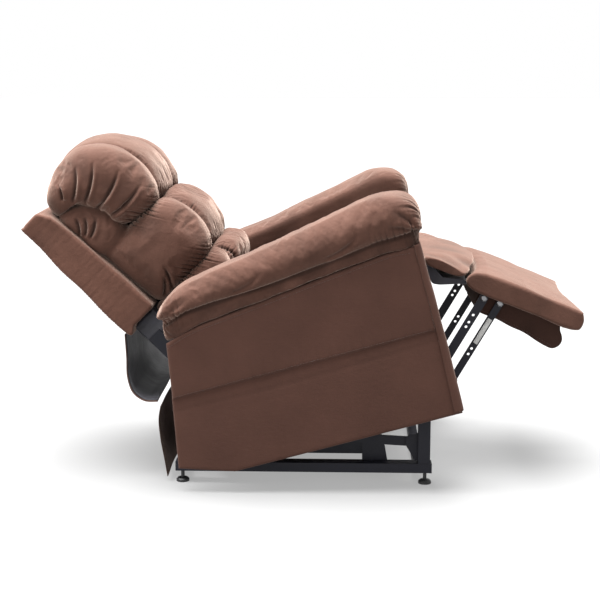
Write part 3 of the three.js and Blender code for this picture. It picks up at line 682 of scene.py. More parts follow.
def pillow_folds(piece, heart, folds, seed, sizes):
    """Presses the gathers at the channels and row seams and the folds of the side faces."""
    forwards, across, up = BACK.local(points_of(piece)).T
    side = np.abs(across)
    plane = np.column_stack((forwards, up))
    front = np.clip((forwards - 110) / 60, 0, 1)
    round_it = np.arctan2(up - heart[1], forwards - heart[0]) * 115
    depth = tucks(round_it + 40 * np.sign(across), side - CHANNEL, sizes.pitch, 12, sizes.gather, seed)
    depth += 6 * np.exp(-((side - CHANNEL) / 3.5) ** 2) * front
    end = np.clip((side - 225) / 30, 0, 1)
    for number, seam in enumerate(ROW_SEAMS):
        slope = seam + np.clip(250 - forwards, 0, 100) * (0.16 if number else -0.04)
        depth += front * (1 - end) * tucks(across, up - seam, sizes.pitch, 13, sizes.gather,
                                           seed + 10 + number)
        rim = end * np.clip((forwards - 165) / 20, 0, 1)
        depth += rim * tucks(forwards + 0.6 * up, up - slope, sizes.pitch * 1.1, 15,
                             sizes.gather * 1.7, seed + 20 + number)
    corner = np.clip((side - 236) / 26, 0, 1)
    for fold in folds:
        depth += corner * crease_line(plane, fold[1], fold[0], 4.5, 9)
    soft = waves(points_of(piece), 120, seed + 3) * 1.6 + waves(points_of(piece), 52, seed + 4) * 0.7
    press(piece, depth + soft)


def pillow(name, node, body, sizes, heart, folds, seed):
    """One row of the back, from its lobes to the finished cushion."""
    piece = new_piece(name, body, finish("Brushed_microfibre"))
    remesh(piece, sizes.voxel)
    smooth(piece, 6)
    forwards, across, up = BACK.local(points_of(piece)).T
    side = np.abs(across)
    seam = np.exp(-((side - CHANNEL) / 12) ** 2)
    row = sum(np.exp(-((up - level) / 12) ** 2) for level in ROW_SEAMS)
    rear = np.clip((120 - forwards) / 30, 0, 1)
    swell(piece, np.clip(seam + row + rear, 0, 1), 9, pressure=3.0, slack=0.03)
    subdivide(piece)
    pillow_folds(piece, heart, folds, seed, sizes)
    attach(piece, "backrest")
    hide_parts(node)
    return piece


class RECLINER_OT_pillows(bpy.types.Operator):
    """Makes the three rows of the back, each with three filled channels"""

    bl_idname = "recliner.pillows"
    bl_label = "Back pillows"

    def execute(self, context):
        sizes = context.scene.recliner_sizes
        pillow("head_pillow", "head_cushion", row_lobes(HEAD_MIDDLE, HEAD_SIDE), sizes,
               (190, 530), HEAD_FOLDS, 11)
        pillow("mid_pillow", "mid_cushion", row_lobes(MID_MIDDLE, MID_SIDE, 283, MID_WING), sizes,
               (190, 300), MID_FOLDS, 23)
        pillow("lumbar_pillow", "lumbar_cushion", row_lobes(LUMBAR_MIDDLE, LUMBAR_SIDE, 266),
               sizes, (190, 160), LUMBAR_FOLDS, 37)
        return {"FINISHED"}


# ---------------------------------------------------------------- back shell

SHELL = ((-34, 206), (-33, 400), (-32, 590), (-24, 606), (10, 609), (31, 607), (42, 590), (55, 556),
         (66, 404), (74, 240), (72, 208), (40, 205), (0, 205))
LOWER_BACK = ((-18, 203), (-15, 30), (-8, 24), (44, 24), (50, 30), (59, 200), (40, 203))


def board(level, profile, half, rim, around=110, rows=16):
    """A covered board across the chair: a side profile with rims rolled over at both ends."""
    loop = smooth_line(profile, around, closed=True)
    heart = loop.mean(0)
    reach = np.abs(loop - heart).max(0)
    rolls = np.linspace(0, math.pi / 2, 6)
    ends = [(half - rim + rim * math.sin(r), rim * (1 - math.cos(r)), 1) for r in rolls]
    ends += [(half, rim, 1 - share) for share in np.linspace(0, 0.96, 15)[1:]]
    stops = [(-across, inset, scale) for across, inset, scale in ends[::-1]]
    stops += [(y, 0, 1) for y in np.linspace(-(half - rim), half - rim, rows)[1:-1]]
    rings = []
    for across, inset, scale in stops + ends:
        ring = heart + (loop - heart) * (1 - inset / reach) * scale
        rings.append(level.place(np.column_stack((ring[:, 0], np.full(around, across), ring[:, 1]))))
    return loft(rings)


def crisp(corners, gap=5):
    """Doubles a profile's corners, so that a smooth line turns them tightly."""
    line = []
    count = len(corners)
    for i in range(count):
        before, here, after = (np.array(corners[k % count], float) for k in (i - 1, i, i + 1))
        for near in (before, after):
            away = near - here
            line.append(tuple(here + away / np.linalg.norm(away) * min(gap, np.linalg.norm(away) / 3)))
    return line


class RECLINER_OT_shell(bpy.types.Operator):
    """Makes the covered back shell and the lined frame under it"""

    bl_idname = "recliner.shell"
    bl_label = "Back shell"

    def execute(self, context):
        shell = new_piece("back_cover", board(BACK, SHELL, 301, 9, 170, 64),
                          finish("Backrest_microfibre_painted_light"))
        subdivide(shell)
        forwards, across, up = BACK.local(points_of(shell)).T
        rear = np.clip((10 - forwards) / 30, 0, 1)
        puckers = tucks(up, np.abs(across) - 296, 24, 22, 0.8, 51)
        puckers += tucks(across, up - 606, 26, 30, 1.0, 52)
        press(shell, puckers + waves(points_of(shell), 150, 53) * (0.8 + rear))
        lower = new_piece("back_lining", board(BACK, crisp(LOWER_BACK, 6), 255, 8, 90, 40),
                          finish("Satin_lining"))
        subdivide(lower)
        press(lower, waves(points_of(lower), 70, 54) * 1.2 + waves(points_of(lower), 30, 55) * 0.5)
        for piece, node, slot in ((shell, "back_shell", "brown_microfibre"),
                                  (lower, "back_lower_frame", "black_lining")):
            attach(piece, "backrest")
            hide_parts(node)
        return {"FINISHED"}


# ---------------------------------------------------------------- seat cushion

SEAT_PROFILE = ((230, 302), (300, 301), (480, 301), (640, 301), (706, 303), (722, 322), (727, 352),
                (722, 392), (700, 424), (640, 438), (540, 441), (400, 440), (300, 436), (246, 430),
                (229, 412), (226, 350))


class RECLINER_OT_seat(bpy.types.Operator):
    """Makes the crowned seat cushion"""

    bl_idname = "recliner.seat"
    bl_label = "Seat cushion"

    def execute(self, context):
        sizes = context.scene.recliner_sizes
        piece = new_piece("seat_pillow", lobe(SEAT, SEAT_PROFILE, 0, 271, 0.5, 0.22, stations=40),
                          finish("Brushed_microfibre"))
        remesh(piece, sizes.voxel)
        smooth(piece, 4)
        forwards, across, up = SEAT.local(points_of(piece)).T
        under = np.clip((330 - up) / 12, 0, 1)
        rim = np.clip((np.abs(across) - 262) / 6, 0, 1)
        swell(piece, np.clip(under + rim, 0, 1), 6, pressure=2.5, slack=0.02)
        subdivide(piece)
        forwards, across, up = SEAT.local(points_of(piece)).T
        top = np.clip((up - 380) / 40, 0, 1)
        welt = 3.0 * np.exp(-((np.abs(across) - 244) / 3.2) ** 2) * top
        welt += 3.0 * np.exp(-((forwards - 690) / 3.2) ** 2) * top * (np.abs(across) < 246)
        gathers = top * tucks(forwards, np.abs(across) - 244, sizes.pitch * 1.4, 26, 3, 61)
        gathers += top * tucks(across, forwards - 690, sizes.pitch * 1.4, 30, 3, 62)
        sag = 7 * np.exp(-((forwards - 470) / 150) ** 2 - (across / 150) ** 2) * top
        press(piece, welt + gathers + sag + waves(points_of(piece), 130, 63) * 1.5 * top)
        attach(piece, "seat_frame")
        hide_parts("seat_cushion")
        return {"FINISHED"}


# ---------------------------------------------------------------- arms

# Side lines of an arm in the seat frame's directions: forwards, then up.
BAND_SEAM = ((87, 398), (168, 421), (329, 439), (554, 464), (714, 479), (797, 478))
ROLL_CREASE = ((97, 452), (158, 470), (245, 476), (404, 484), (565, 500), (697, 517), (803, 516))
ROLL_TOP = ((86, 470), (93, 490), (111, 508), (158, 531), (219, 545), (384, 570), (538, 597),
            (676, 622), (730, 631), (775, 624), (807, 607), (819, 578), (819, 546), (808, 512))
SPINE = ((140, 496), (250, 512), (404, 528), (565, 549), (697, 570), (762, 572))
BAND = ((92, 404), (168, 424), (329, 442), (554, 467), (714, 481), (794, 482), (804, 500),
        (800, 528), (697, 530), (565, 514), (404, 498), (245, 489), (158, 482), (98, 462),
        (86, 430))
ARM_OUT = 430                       # the side panel's face, from the middle of the chair
ARM_IN = 276


def spine_height(along):
    """The roll's spine at a distance along the arm."""
    return np.interp(along, *np.array(SPINE).T)


def roll_hearts(loop):
    """What the roll's sides draw in to: a line along its middle, short of both its ends."""
    along = np.clip(loop[:, 0], SPINE[0][0], SPINE[-1][0])
    return np.column_stack((along, spine_height(along)))


def arm_roll(name, sign, sizes, seed):
    """The filled roll on top of an arm with the padded band under it."""
    outline = ROLL_TOP + tuple(reversed(ROLL_CREASE[1:-1]))
    middle, half = sign * 361, 86
    bodies = [lobe(SEAT, outline, middle, half, 0.68, 0.36, roll_hearts, 220, 34),
              lobe(SEAT, BAND, sign * 356, 79, 0.35, 0.16, around=200, stations=30)]
    piece = new_piece(name, together(bodies), finish("Brushed_microfibre"))
    remesh(piece, sizes.voxel)
    smooth(piece, 5)
    forwards, across, up = SEAT.local(points_of(piece)).T
    crease = np.interp(forwards, *np.array(ROLL_CREASE).T)
    held = np.exp(-((up - crease) / 14) ** 2) + np.clip((crease - 30 - up) / 10, 0, 1)
    held += np.clip((110 - forwards) / 20, 0, 1) + np.clip((ARM_IN + 12 - np.abs(across)) / 8, 0, 1)
    swell(piece, np.clip(held, 0, 1), 7, pressure=2.5, slack=0.02)
    subdivide(piece)
    forwards, across, up = SEAT.local(points_of(piece)).T
    crease = np.interp(forwards, *np.array(ROLL_CREASE).T)
    outer = np.clip((np.abs(across) - 380) / 30, 0, 1)
    front = np.exp(-np.clip(800 - forwards, 0, None) / 60)
    rear = np.exp(-np.clip(forwards - 92, 0, None) / 50)
    # Pressing the crease and the band under it in also paints shade there through the fold mark.
    depth = 8 * np.exp(-((up - crease) / 4.5) ** 2) * outer
    ends = (0.12 + 1.7 * front + 1.9 * rear) * np.clip((up - crease + 4) / 8, 0.2, 1)
    depth += outer * ends * tucks(forwards, up - crease, sizes.pitch * 1.25, 30, sizes.gather * 0.8, seed)
    depth += outer * np.clip((crease - up) / 6, 0, 1) * 3
    fan = np.arctan2(up - crease[0] - 60, np.abs(across) - 361) * 60
    depth += front ** 3 * tucks(fan, (819 - forwards) * 0.6, sizes.pitch, 22, 4.5, seed + 1)
    depth += rear ** 2 * tucks(fan, (forwards - 88) * 0.7, sizes.pitch, 26, 5, seed + 2)
    for start, end in (((806, 512), (735, 548)), ((806, 520), (760, 585)), ((98, 478), (170, 505)),
                       ((300, 492), (380, 520)), ((560, 514), (650, 548))):
        depth += outer * crease_line(np.column_stack((forwards, up)), start, end, 6, 4)
    depth += waves(points_of(piece), 190, seed + 3) * 2.2 + waves(points_of(piece), 70, seed + 4) * 0.8
    press(piece, depth)
    return piece


def side_lines(sign, out):
    """The lines round an arm's outer panels, on one side."""
    y = sign * out
    top = [(u, y, v + 5) for u, v in BAND_SEAM]
    overlap = [(60, y, 251), (420, y, 250), (797, y, 250)]
    bottom = [(u, y, v) for u, v in ((22, 64), (95, 40.5), (160, 19.6), (176, 17), (300, 17),
                                     (480, 17), (640, 17), (797, 17))]
    return top, overlap, bottom


def front_cover(sign):
    """The strip over an arm's front, wrapped round its outer corner to a seam on the side."""
    rows = 90
    rings = []
    for share in np.linspace(0, 1, rows):
        up = 24 + share * 462
        seam = 776 + share * 19
        bulge = 2.5 * (4 * share * (1 - share)) ** 0.5 + 0.8 * math.sin(share * 21) * share
        outer = ((786, 277), (797, 278), (801 + bulge, 292), (802 + bulge * 1.5, 350),
                 (802 + bulge, 412), (799 + bulge, 426), (792, 432.2), (784, 433), (seam, 431.6))
        inner = ((seam, 424), (786, 422), (790, 412), (790, 350), (788, 284))
        ring = np.vstack((smooth_line(outer, 56), smooth_line(inner, 20)))
        rings.append(SEAT.place(np.column_stack((ring[:, 0], ring[:, 1] * sign, np.full(76, up)))))
    return loft(rings)


class RECLINER_OT_arms(bpy.types.Operator):
    """Makes both arms: rolls, side panels, skirts, inner panels and front covers"""

    bl_idname = "recliner.arms"
    bl_label = "Arms"

    def execute(self, context):
        sizes = context.scene.recliner_sizes
        for number, (side, sign) in enumerate(SIDES):
            roll = arm_roll(f"arm_roll_{side}", sign, sizes, 71 + 40 * number)
            top, overlap, bottom = side_lines(sign, ARM_OUT - 11.5)
            upper = padded_sheet(SEAT, overlap, top, (0, sign, 0), 11, 3.2, 9, (150, 40), 91 + number, 1.2)
            skirt = padded_sheet(SEAT, bottom, [(u, y, v + 6) for u, y, v in overlap], (0, sign, 0),
                                 7, 1.6, 7, (150, 40), 93 + number, 1.0)
            inner = padded_sheet(SEAT, [(152, sign * 287, 192), (772, sign * 287, 192)],
                                 [(152, sign * 287, 440), (772, sign * 287, 480)], (0, -sign, 0),
                                 10, 2, 9, (70, 30), 95 + number)
            made = [(roll, "arm_pad", "brown_microfibre")]
            for part, body, node in (("arm_side", upper, "arm_side_panel"),
                                     ("arm_skirt", skirt, "arm_skirt_panel"),
                                     ("arm_inside", inner, "arm_inner_panel"),
                                     ("arm_front", front_cover(sign), "arm_front_panel")):
                piece = new_piece(f"{part}_{side}", body, finish("Panel_microfibre"))
                made.append((piece, node, "panel_microfibre"))
            for piece, node, slot in made:
                if piece is not roll:
                    self.ease(piece, number)
                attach(piece, "seat_frame")
                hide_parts(f"{node}_{side}")
        return {"FINISHED"}

    def ease(self, piece, number):
        """The slack of stretched cloth: small pulls at the seams and one fold along the skirt."""
        forwards, across, up = SEAT.local(points_of(piece)).T
        out = np.clip((np.abs(across) - 424) / 3, 0, 1)
        depth = out * tucks(forwards, up - 254, 34, 28, 1.0, 101 + number)
        seam = np.interp(forwards, *np.array(BAND_SEAM).T)
        depth += out * tucks(forwards, up - seam, 26, 22, 1.2, 103 + number)
        if piece.name.startswith("arm_skirt"):
            fold = 222 - 6 * np.sin(forwards / 210)
            depth += 0.9 * np.exp(-((up - fold) / 5) ** 2) * out
        press(piece, depth)


# ---------------------------------------------------------------- footrest

REST_PROFILE = ((-70, 34), (-54, 58), (-20, 66), (100, 66), (264, 59), (279, 46), (281, 14), (268, 5),
                (226, 2), (46, 6), (-28, 7), (-58, 16))
LIP_INSIDE, LIP_REAR, PAD_UNDERSIDE = 255, 225, 14      # the pad is hollow above the linkage
BOARD_PROFILE = ((-15, 12), (-15, -31), (-4, -44), (60, -47), (131, -55), (225, -71), (240, -68),
                 (254, -46), (246, -24), (234, -14), (228, 12))
CHAISE_PROFILE = ((806, 424), (822, 419), (846, 406), (866, 390), (884, 372), (900, 352),
                  (905, 343), (893, 340), (872, 348), (850, 362), (828, 380), (808, 398), (802, 412))
CHAISE_LINING = ((806, 404), (808, 350), (822, 336), (850, 327), (880, 322), (900, 316), (904, 322),
                 (884, 334), (856, 342), (830, 352), (820, 372), (814, 404))


def bowed(level, piece, half):
    """Bows the footrest's ends: full at the sides at both, hollow in the middle."""
    forwards, across, up = level.local(points_of(piece)).T
    share = 1 - np.clip(np.abs(across) / half, 0, 1) ** 2
    forwards = forwards + 32 * share * np.clip((60 - forwards) / 125, 0, 1)
    forwards = forwards - 30 * share * np.clip((forwards - 150) / 120, 0, 1)
    set_points(piece, level.place(np.column_stack((forwards, across, up))))


class RECLINER_OT_footrest(bpy.types.Operator):
    """Makes the footrest pad, its covered board, and the pad that bridges it to the seat"""

    bl_idname = "recliner.footrest"
    bl_label = "Footrest"

    def execute(self, context):
        sizes = context.scene.recliner_sizes
        pad = self.pad(sizes)
        under = new_piece("footrest_cover", board(REST, crisp(BOARD_PROFILE, 7), 228, 7, 120, 50),
                          finish("Board_microfibre_painted_shade"))
        subdivide(under)
        forwards, across, _ = REST.local(points_of(under)).T
        lip = np.clip((forwards - 215) / 20, 0, 1)
        scallops = lip * 3.5 * (1 - np.abs(np.sin(across / 44)))
        press(under, scallops + waves(points_of(under), 80, 121) * 1.2)
        bridge = self.bridge()
        for piece, node, slot in ((pad, "footrest_pad", "brown_microfibre"),
                                  (under, "footrest_board", "panel_microfibre")):
            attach(piece, "footrest_pad")
            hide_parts(node)
        start, end = (tuple(SEAT.place(point)) for point in ((803, 0, 420), (828, 0, 404)))
        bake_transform(bridge)
        curtain = self.curtain()
        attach(curtain, "seat_frame")
        tuple(SEAT.place((792, 0, 360)))
        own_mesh(curtain)
        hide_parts("chaise_pad")
        return {"FINISHED"}

    def pad(self, sizes):
        """The pad, crowned, with its corners pulled out."""
        body = board(REST, crisp(REST_PROFILE, 8), 262, 9, 190, 84)
        piece = new_piece("footrest_pillow", body, finish("Brushed_microfibre"))
        bowed(REST, piece, 262)
        forwards, across, up = REST.local(points_of(piece)).T
        under = (np.abs(across) < LIP_INSIDE) & (forwards < LIP_REAR)
        up = np.where(under, np.maximum(up, PAD_UNDERSIDE), up)
        set_points(piece, REST.place(np.column_stack((forwards, across, up))))
        subdivide(piece)
        forwards, across, up = REST.local(points_of(piece)).T
        rear = -32 - 36 * (np.abs(across) / 262) ** 2
        side = np.clip((np.abs(across) - 250) / 6, 0, 1)
        top = np.clip((up - 50) / 8, 0, 1)
        crown = np.clip(1 - (across / 262) ** 4, 0, 1) * np.clip(1 - ((forwards - 95) / 185) ** 4, 0, 1)
        depth = -9 * top * crown
        depth += side * 0.8 * np.exp(-((up - 6) / 2.5) ** 2)
        depth += tucks(across, forwards - rear, sizes.pitch * 1.6, 14, 2.2, 111)
        depth += top * tucks(across, forwards - 268, sizes.pitch * 1.6, 18, 1.8, 113)
        depth += waves(points_of(piece), 170, 114) * 1.6 + waves(points_of(piece), 70, 115) * 0.5
        press(piece, depth)
        return piece

    def bridge(self):
        """The folded cloth between seat and footrest."""
        body = lobe(SEAT, CHAISE_PROFILE, 0, 255, 0.25, 0.12, around=80, stations=50)
        piece = new_piece("chaise_bridge", body, finish("Brushed_microfibre"))
        subdivide(piece)
        forwards, across, up = SEAT.local(points_of(piece)).T
        middle = 1 - np.clip(np.abs(across) / 255, 0, 1) ** 2
        reach = np.clip((forwards - 812) / 92, 0, 1) ** 1.2 * middle
        forwards, up = forwards + 42 * reach, up + 13 * reach
        set_points(piece, SEAT.place(np.column_stack((forwards, across, up))))
        run = (forwards - 804) * 0.77 - (up - 423) * 0.64
        full = np.clip(run / 25, 0.15, 1)
        folds = 2.4 * full * (np.sin(across / 13 + run / 55) + 0.7 * np.sin(across / 21 - run / 70))
        press(piece, folds * 0.7 + waves(points_of(piece), 90, 118) * 1.4)
        return piece

    def curtain(self):
        """The dark cloth that hangs under the bridge."""
        body = board(SEAT, CHAISE_LINING, 232, 4, 90, 60)
        piece = new_piece("chaise_lining", body, finish("Satin_lining"))
        subdivide(piece)
        press(piece, waves(points_of(piece), 60, 119) * 2.2)
        return piece


# ---------------------------------------------------------------- cloth at the rear

# Upright lines behind the chair, from the top down: forwards, then up.
FLAP = ((-155, 408), (-152, 345), (-151, 290), (-137, 245), (-105, 221), (-68, 219))
FLAP_GAP = -3                       # from the flap's outer cloth to its lining
SKIRT = ((-56, 214), (-62, 175), (-58, 120), (-48, 62), (-40, 14))


def cloth_sheet(name, line, half, top, droop, seed, inset=0.0):
    """A thin sheet along a line, with soft folds that deepen towards its lower edge."""
    down, rows = 46, 90
    path = smooth_line(line, down)
    tangent = np.gradient(path, axis=0)
    tangent /= np.linalg.norm(tangent, axis=1, keepdims=True)
    normal = np.column_stack((tangent[:, 1], -tangent[:, 0]))
    across = np.linspace(-half, half, rows)
    draw = np.random.default_rng(seed)
    fold = sum(np.sin(across / span + draw.uniform(0, 6)) for span in (34, 52, 83)) / 3
    points = []
    for number, (point, side) in enumerate(zip(path, normal)):
        share = number / (down - 1)
        lift = droop * fold * math.sin(math.pi * min(1, share * 0.75 + 0.08))
        placed = point + side * (lift[:, None] + inset)
        points.append(np.column_stack((placed[:, 0], across, placed[:, 1])))
    points = BASE.place(np.vstack(points))
    faces = [(i * rows + j, i * rows + j + 1, (i + 1) * rows + j + 1, (i + 1) * rows + j)
             for i in range(down - 1) for j in range(rows - 1)]
    piece = new_piece(name, (points, faces), top)
    wall = piece.modifiers.new("Thickness", "SOLIDIFY")
    wall.thickness = 0.0016
    wall.offset = 0
    bake_modifiers(piece)
    length = np.linalg.norm(np.diff(path, axis=0), axis=1).sum() * MM
    return piece, (2 * half * MM, float(length))


class RECLINER_OT_cloth(bpy.types.Operator):
    """Makes the flap behind the back and the dust skirt at the rear"""

    bl_idname = "recliner.cloth"
    bl_label = "Rear cloth"

    def execute(self, context):
        start, end = (tuple(BASE.place(point)) for point in ((-152, 0, 400), (-80, 0, 219)))
        flap, flat = cloth_sheet("rear_flap", FLAP, 290, finish("Flap_microfibre"), 3, 131)
        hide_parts("back_flap")
        inside, flat = cloth_sheet("flap_lining", FLAP, 284, finish("Satin_lining"), 3, 131, FLAP_GAP)
        for piece in (flap, inside):
            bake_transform(piece)
        skirt, flat = cloth_sheet("dust_skirt", SKIRT, 322, finish("Skirt_microfibre"), 4, 132)
        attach(skirt, "seat_frame")
        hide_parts("rear_skirt")
        return {"FINISHED"}


# ---------------------------------------------------------------- repeated fittings

def new_tree(name, inputs):
    """A node tree for a modifier, with its inputs and a start and end."""
    tree = bpy.data.node_groups.new(name, "GeometryNodeTree")
    tree.is_modifier = True
    tree.interface.new_socket("Geometry", in_out="INPUT", socket_type="NodeSocketGeometry")
    for label, kind, value in inputs:
        socket = tree.interface.new_socket(label, in_out="INPUT", socket_type=f"NodeSocket{kind}")
        socket.default_value = value
    tree.interface.new_socket("Geometry", in_out="OUTPUT", socket_type="NodeSocketGeometry")
    return tree, tree.nodes.new("NodeGroupInput"), tree.nodes.new("NodeGroupOutput")


def finish_tree(tree, geometry, out, material):
    """Ends a tree: instances made real, in one material."""
    real = tree.nodes.new("GeometryNodeRealizeInstances")
    paint = tree.nodes.new("GeometryNodeSetMaterial")
    paint.inputs["Material"].default_value = finish(material)
    tree.links.new(geometry, real.inputs["Geometry"])
    tree.links.new(real.outputs["Geometry"], paint.inputs["Geometry"])
    tree.links.new(paint.outputs["Geometry"], out.inputs["Geometry"])


def stitch_tree():
    """Stitches along seam lines: short beads laid on the line, each a little out of true."""
    tree, start, out = new_tree("Seam stitches", (
        ("Stitch length", "Float", 0.0055), ("Stitch spacing", "Float", 0.008),
        ("Thread thickness", "Float", 0.0012), ("Seed", "Int", 7)))
    nodes, link = tree.nodes, tree.links.new
    line = nodes.new("GeometryNodeMeshToCurve")
    even = nodes.new("GeometryNodeResampleCurve")
    even.mode = "LENGTH"
    bead = nodes.new("GeometryNodeMeshUVSphere")
    bead.inputs["Segments"].default_value = 6
    bead.inputs["Rings"].default_value = 4
    bead.inputs["Radius"].default_value = 0.5
    size = nodes.new("ShaderNodeCombineXYZ")
    shape = nodes.new("GeometryNodeTransform")
    tangent = nodes.new("GeometryNodeInputTangent")
    turn = nodes.new("FunctionNodeAlignEulerToVector")
    turn.axis = "X"
    drift = nodes.new("FunctionNodeRandomValue")
    drift.data_type = "FLOAT_VECTOR"
    drift.inputs["Min"].default_value = (0.85, 0.9, 0.8)
    drift.inputs["Max"].default_value = (1.1, 1.1, 1.1)
    lay = nodes.new("GeometryNodeInstanceOnPoints")
    link(start.outputs["Geometry"], line.inputs["Mesh"])
    link(line.outputs["Curve"], even.inputs["Curve"])
    link(start.outputs["Stitch spacing"], even.inputs["Length"])
    link(start.outputs["Stitch length"], size.inputs["X"])
    link(start.outputs["Thread thickness"], size.inputs["Y"])
    link(start.outputs["Thread thickness"], size.inputs["Z"])
    link(bead.outputs["Mesh"], shape.inputs["Geometry"])
    link(size.outputs["Vector"], shape.inputs["Scale"])
    link(tangent.outputs["Tangent"], turn.inputs["Vector"])
    link(start.outputs["Seed"], drift.inputs["Seed"])
    link(even.outputs["Curve"], lay.inputs["Points"])
    link(shape.outputs["Geometry"], lay.inputs["Instance"])
    link(turn.outputs["Rotation"], lay.inputs["Rotation"])
    link(drift.outputs["Value"], lay.inputs["Scale"])
    finish_tree(tree, lay.outputs["Instances"], out, "Sewing_thread")
    return tree


def rivet_tree():
    """Rivet heads on points: a washer under a shallow dome, facing across the chair."""
    tree, start, out = new_tree("Rivet heads", (
        ("Head radius", "Float", 0.0075), ("Head height", "Float", 0.003)))
    nodes, link = tree.nodes, tree.links.new
    dome = nodes.new("GeometryNodeMeshUVSphere")
    dome.inputs["Segments"].default_value = 20
    dome.inputs["Rings"].default_value = 8
    dome.inputs["Radius"].default_value = 1
    wide = nodes.new("ShaderNodeCombineXYZ")
    shape = nodes.new("GeometryNodeTransform")
    washer = nodes.new("GeometryNodeMeshCylinder")
    washer.inputs["Vertices"].default_value = 20
    flat = nodes.new("ShaderNodeMath")
    flat.operation = "MULTIPLY"
    flat.inputs[1].default_value = 0.5
    rim = nodes.new("ShaderNodeMath")
    rim.operation = "MULTIPLY"
    rim.inputs[1].default_value = 1.3
    both = nodes.new("GeometryNodeJoinGeometry")
    lay = nodes.new("GeometryNodeInstanceOnPoints")
    lay.inputs["Rotation"].default_value = (math.pi / 2, 0, 0)
    link(start.outputs["Head radius"], wide.inputs["X"])
    link(start.outputs["Head radius"], wide.inputs["Y"])
    link(start.outputs["Head height"], wide.inputs["Z"])
    link(dome.outputs["Mesh"], shape.inputs["Geometry"])
    link(wide.outputs["Vector"], shape.inputs["Scale"])
    link(start.outputs["Head radius"], rim.inputs[0])
    link(rim.outputs["Value"], washer.inputs["Radius"])
    link(start.outputs["Head height"], flat.inputs[0])
    link(flat.outputs["Value"], washer.inputs["Depth"])
    link(shape.outputs["Geometry"], both.inputs["Geometry"])
    link(washer.outputs["Mesh"], both.inputs["Geometry"])
    link(start.outputs["Geometry"], lay.inputs["Points"])
    link(both.outputs["Geometry"], lay.inputs["Instance"])
    finish_tree(tree, lay.outputs["Instances"], out, "Rivet_steel")
    return tree


def grown(name, points, edges, tree, values):
    """The plain mesh that a tree makes on points and edges."""
    seed_mesh = bpy.data.meshes.new(name)
    seed_mesh.from_pydata(np.asarray(points, float).tolist(), edges, [])
    piece = bpy.data.objects.new(name, seed_mesh)
    bpy.context.scene.collection.objects.link(piece)
    maker = piece.modifiers.new("Maker", "NODES")
    maker.node_group = tree
    sockets = {s.name: s.identifier for s in tree.interface.items_tree if s.in_out == "INPUT"}
    for label, value in values.items():
        maker[sockets[label]] = value
    bake_modifiers(piece)
    return piece


def seam_lines(sign):
    """The sewn lines of one arm, in metres, just proud of its panels."""
    y = sign * (ARM_OUT + 2.6)
    band = [(u, y + sign * 1.0, v - 7) for u, v in BAND_SEAM[:-1]] + [(768, y, 470)]
    lap = [(66, y, 258.5), (420, y + sign * 1.0, 257.5), (770, y, 257.5)]
    wrap = [(772.5, y, 34), (780, y + sign * 0.5, 200), (789, y, 440)]
    return [SEAT.place(smooth_line(line, 90)) for line in (band, lap, wrap)]


def onto(piece, points, proud=0.0004):
    """Points moved to the nearest place on a piece, a little proud of it."""
    placed = []
    for point in points:
        _, spot, normal, _ = piece.closest_point_on_mesh(point.tolist())
        placed.append(np.array(spot) + np.array(normal) * proud)
    return placed


class RECLINER_OT_stitches(bpy.types.Operator):
    """Sews the visible seams of the arms, the footrest and the back shell"""

    bl_idname = "recliner.stitches"
    bl_label = "Stitches"

    def execute(self, context):
        sizes = context.scene.recliner_sizes
        tree = stitch_tree()
        values = {"Stitch length": sizes.stitch, "Stitch spacing": sizes.stitch * 1.45,
                  "Thread thickness": sizes.thread}
        arms = []
        for side, sign in SIDES:
            band, lap, wrap = seam_lines(sign)
            upper = bpy.data.objects[f"arm_side_{side}"]
            arms += [onto(upper, band), onto(upper, lap), onto(upper, wrap)]
        shell = bpy.data.objects["back_cover"]
        rim = smooth_line([(-36, 292, 230), (-36, 292, 420), (-35, 291, 592)], 60)
        backs = [onto(shell, BACK.place(rim * (1, sign, 1))) for _, sign in SIDES]
        backs.append(onto(shell, BACK.place(smooth_line([(-36, -290, 592), (-36, 0, 592),
                                                         (-36, 290, 592)], 90))))
        under = bpy.data.objects["footrest_cover"]
        rests = [onto(under, REST.place(smooth_line([(4, sign * 229, -36), (120, sign * 229, -45),
                                                     (222, sign * 229, -60)], 50)))
                 for _, sign in SIDES]
        for name, lines, body in (("arm_stitches", arms, "seat_frame"),
                                  ("back_stitches", backs, "backrest"),
                                  ("footrest_stitches", rests, "footrest_pad")):
            points = np.vstack([np.array(line) for line in lines])
            edges, base = [], 0
            for line in lines:
                edges += [(base + i, base + i + 1) for i in range(len(line) - 1)]
                base += len(line)
            piece = grown(name, points, edges, tree, values)
            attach(piece, body)
        return {"FINISHED"}


# Pivots of the linkage in the seat frame's directions: forwards, then up.
DRIVE_PIVOT = (632, 252)
KNEE = (756, 94)
BOARD_PIVOT = (935, 269)
LINK_SPACING, LINK_SLOPE = 49, math.radians(35.9)
LINK_OFFSET = (LINK_SPACING * math.cos(LINK_SLOPE), -LINK_SPACING * math.sin(LINK_SLOPE))
REAR_LINK_FACE, FRONT_LINK_FACE, DRIVE_FACE = 252, 236, 260     # outer faces, from the middle


def moved(point, offset):
    """A point in the side plane, moved."""
    return point[0] + offset[0], point[1] + offset[1]


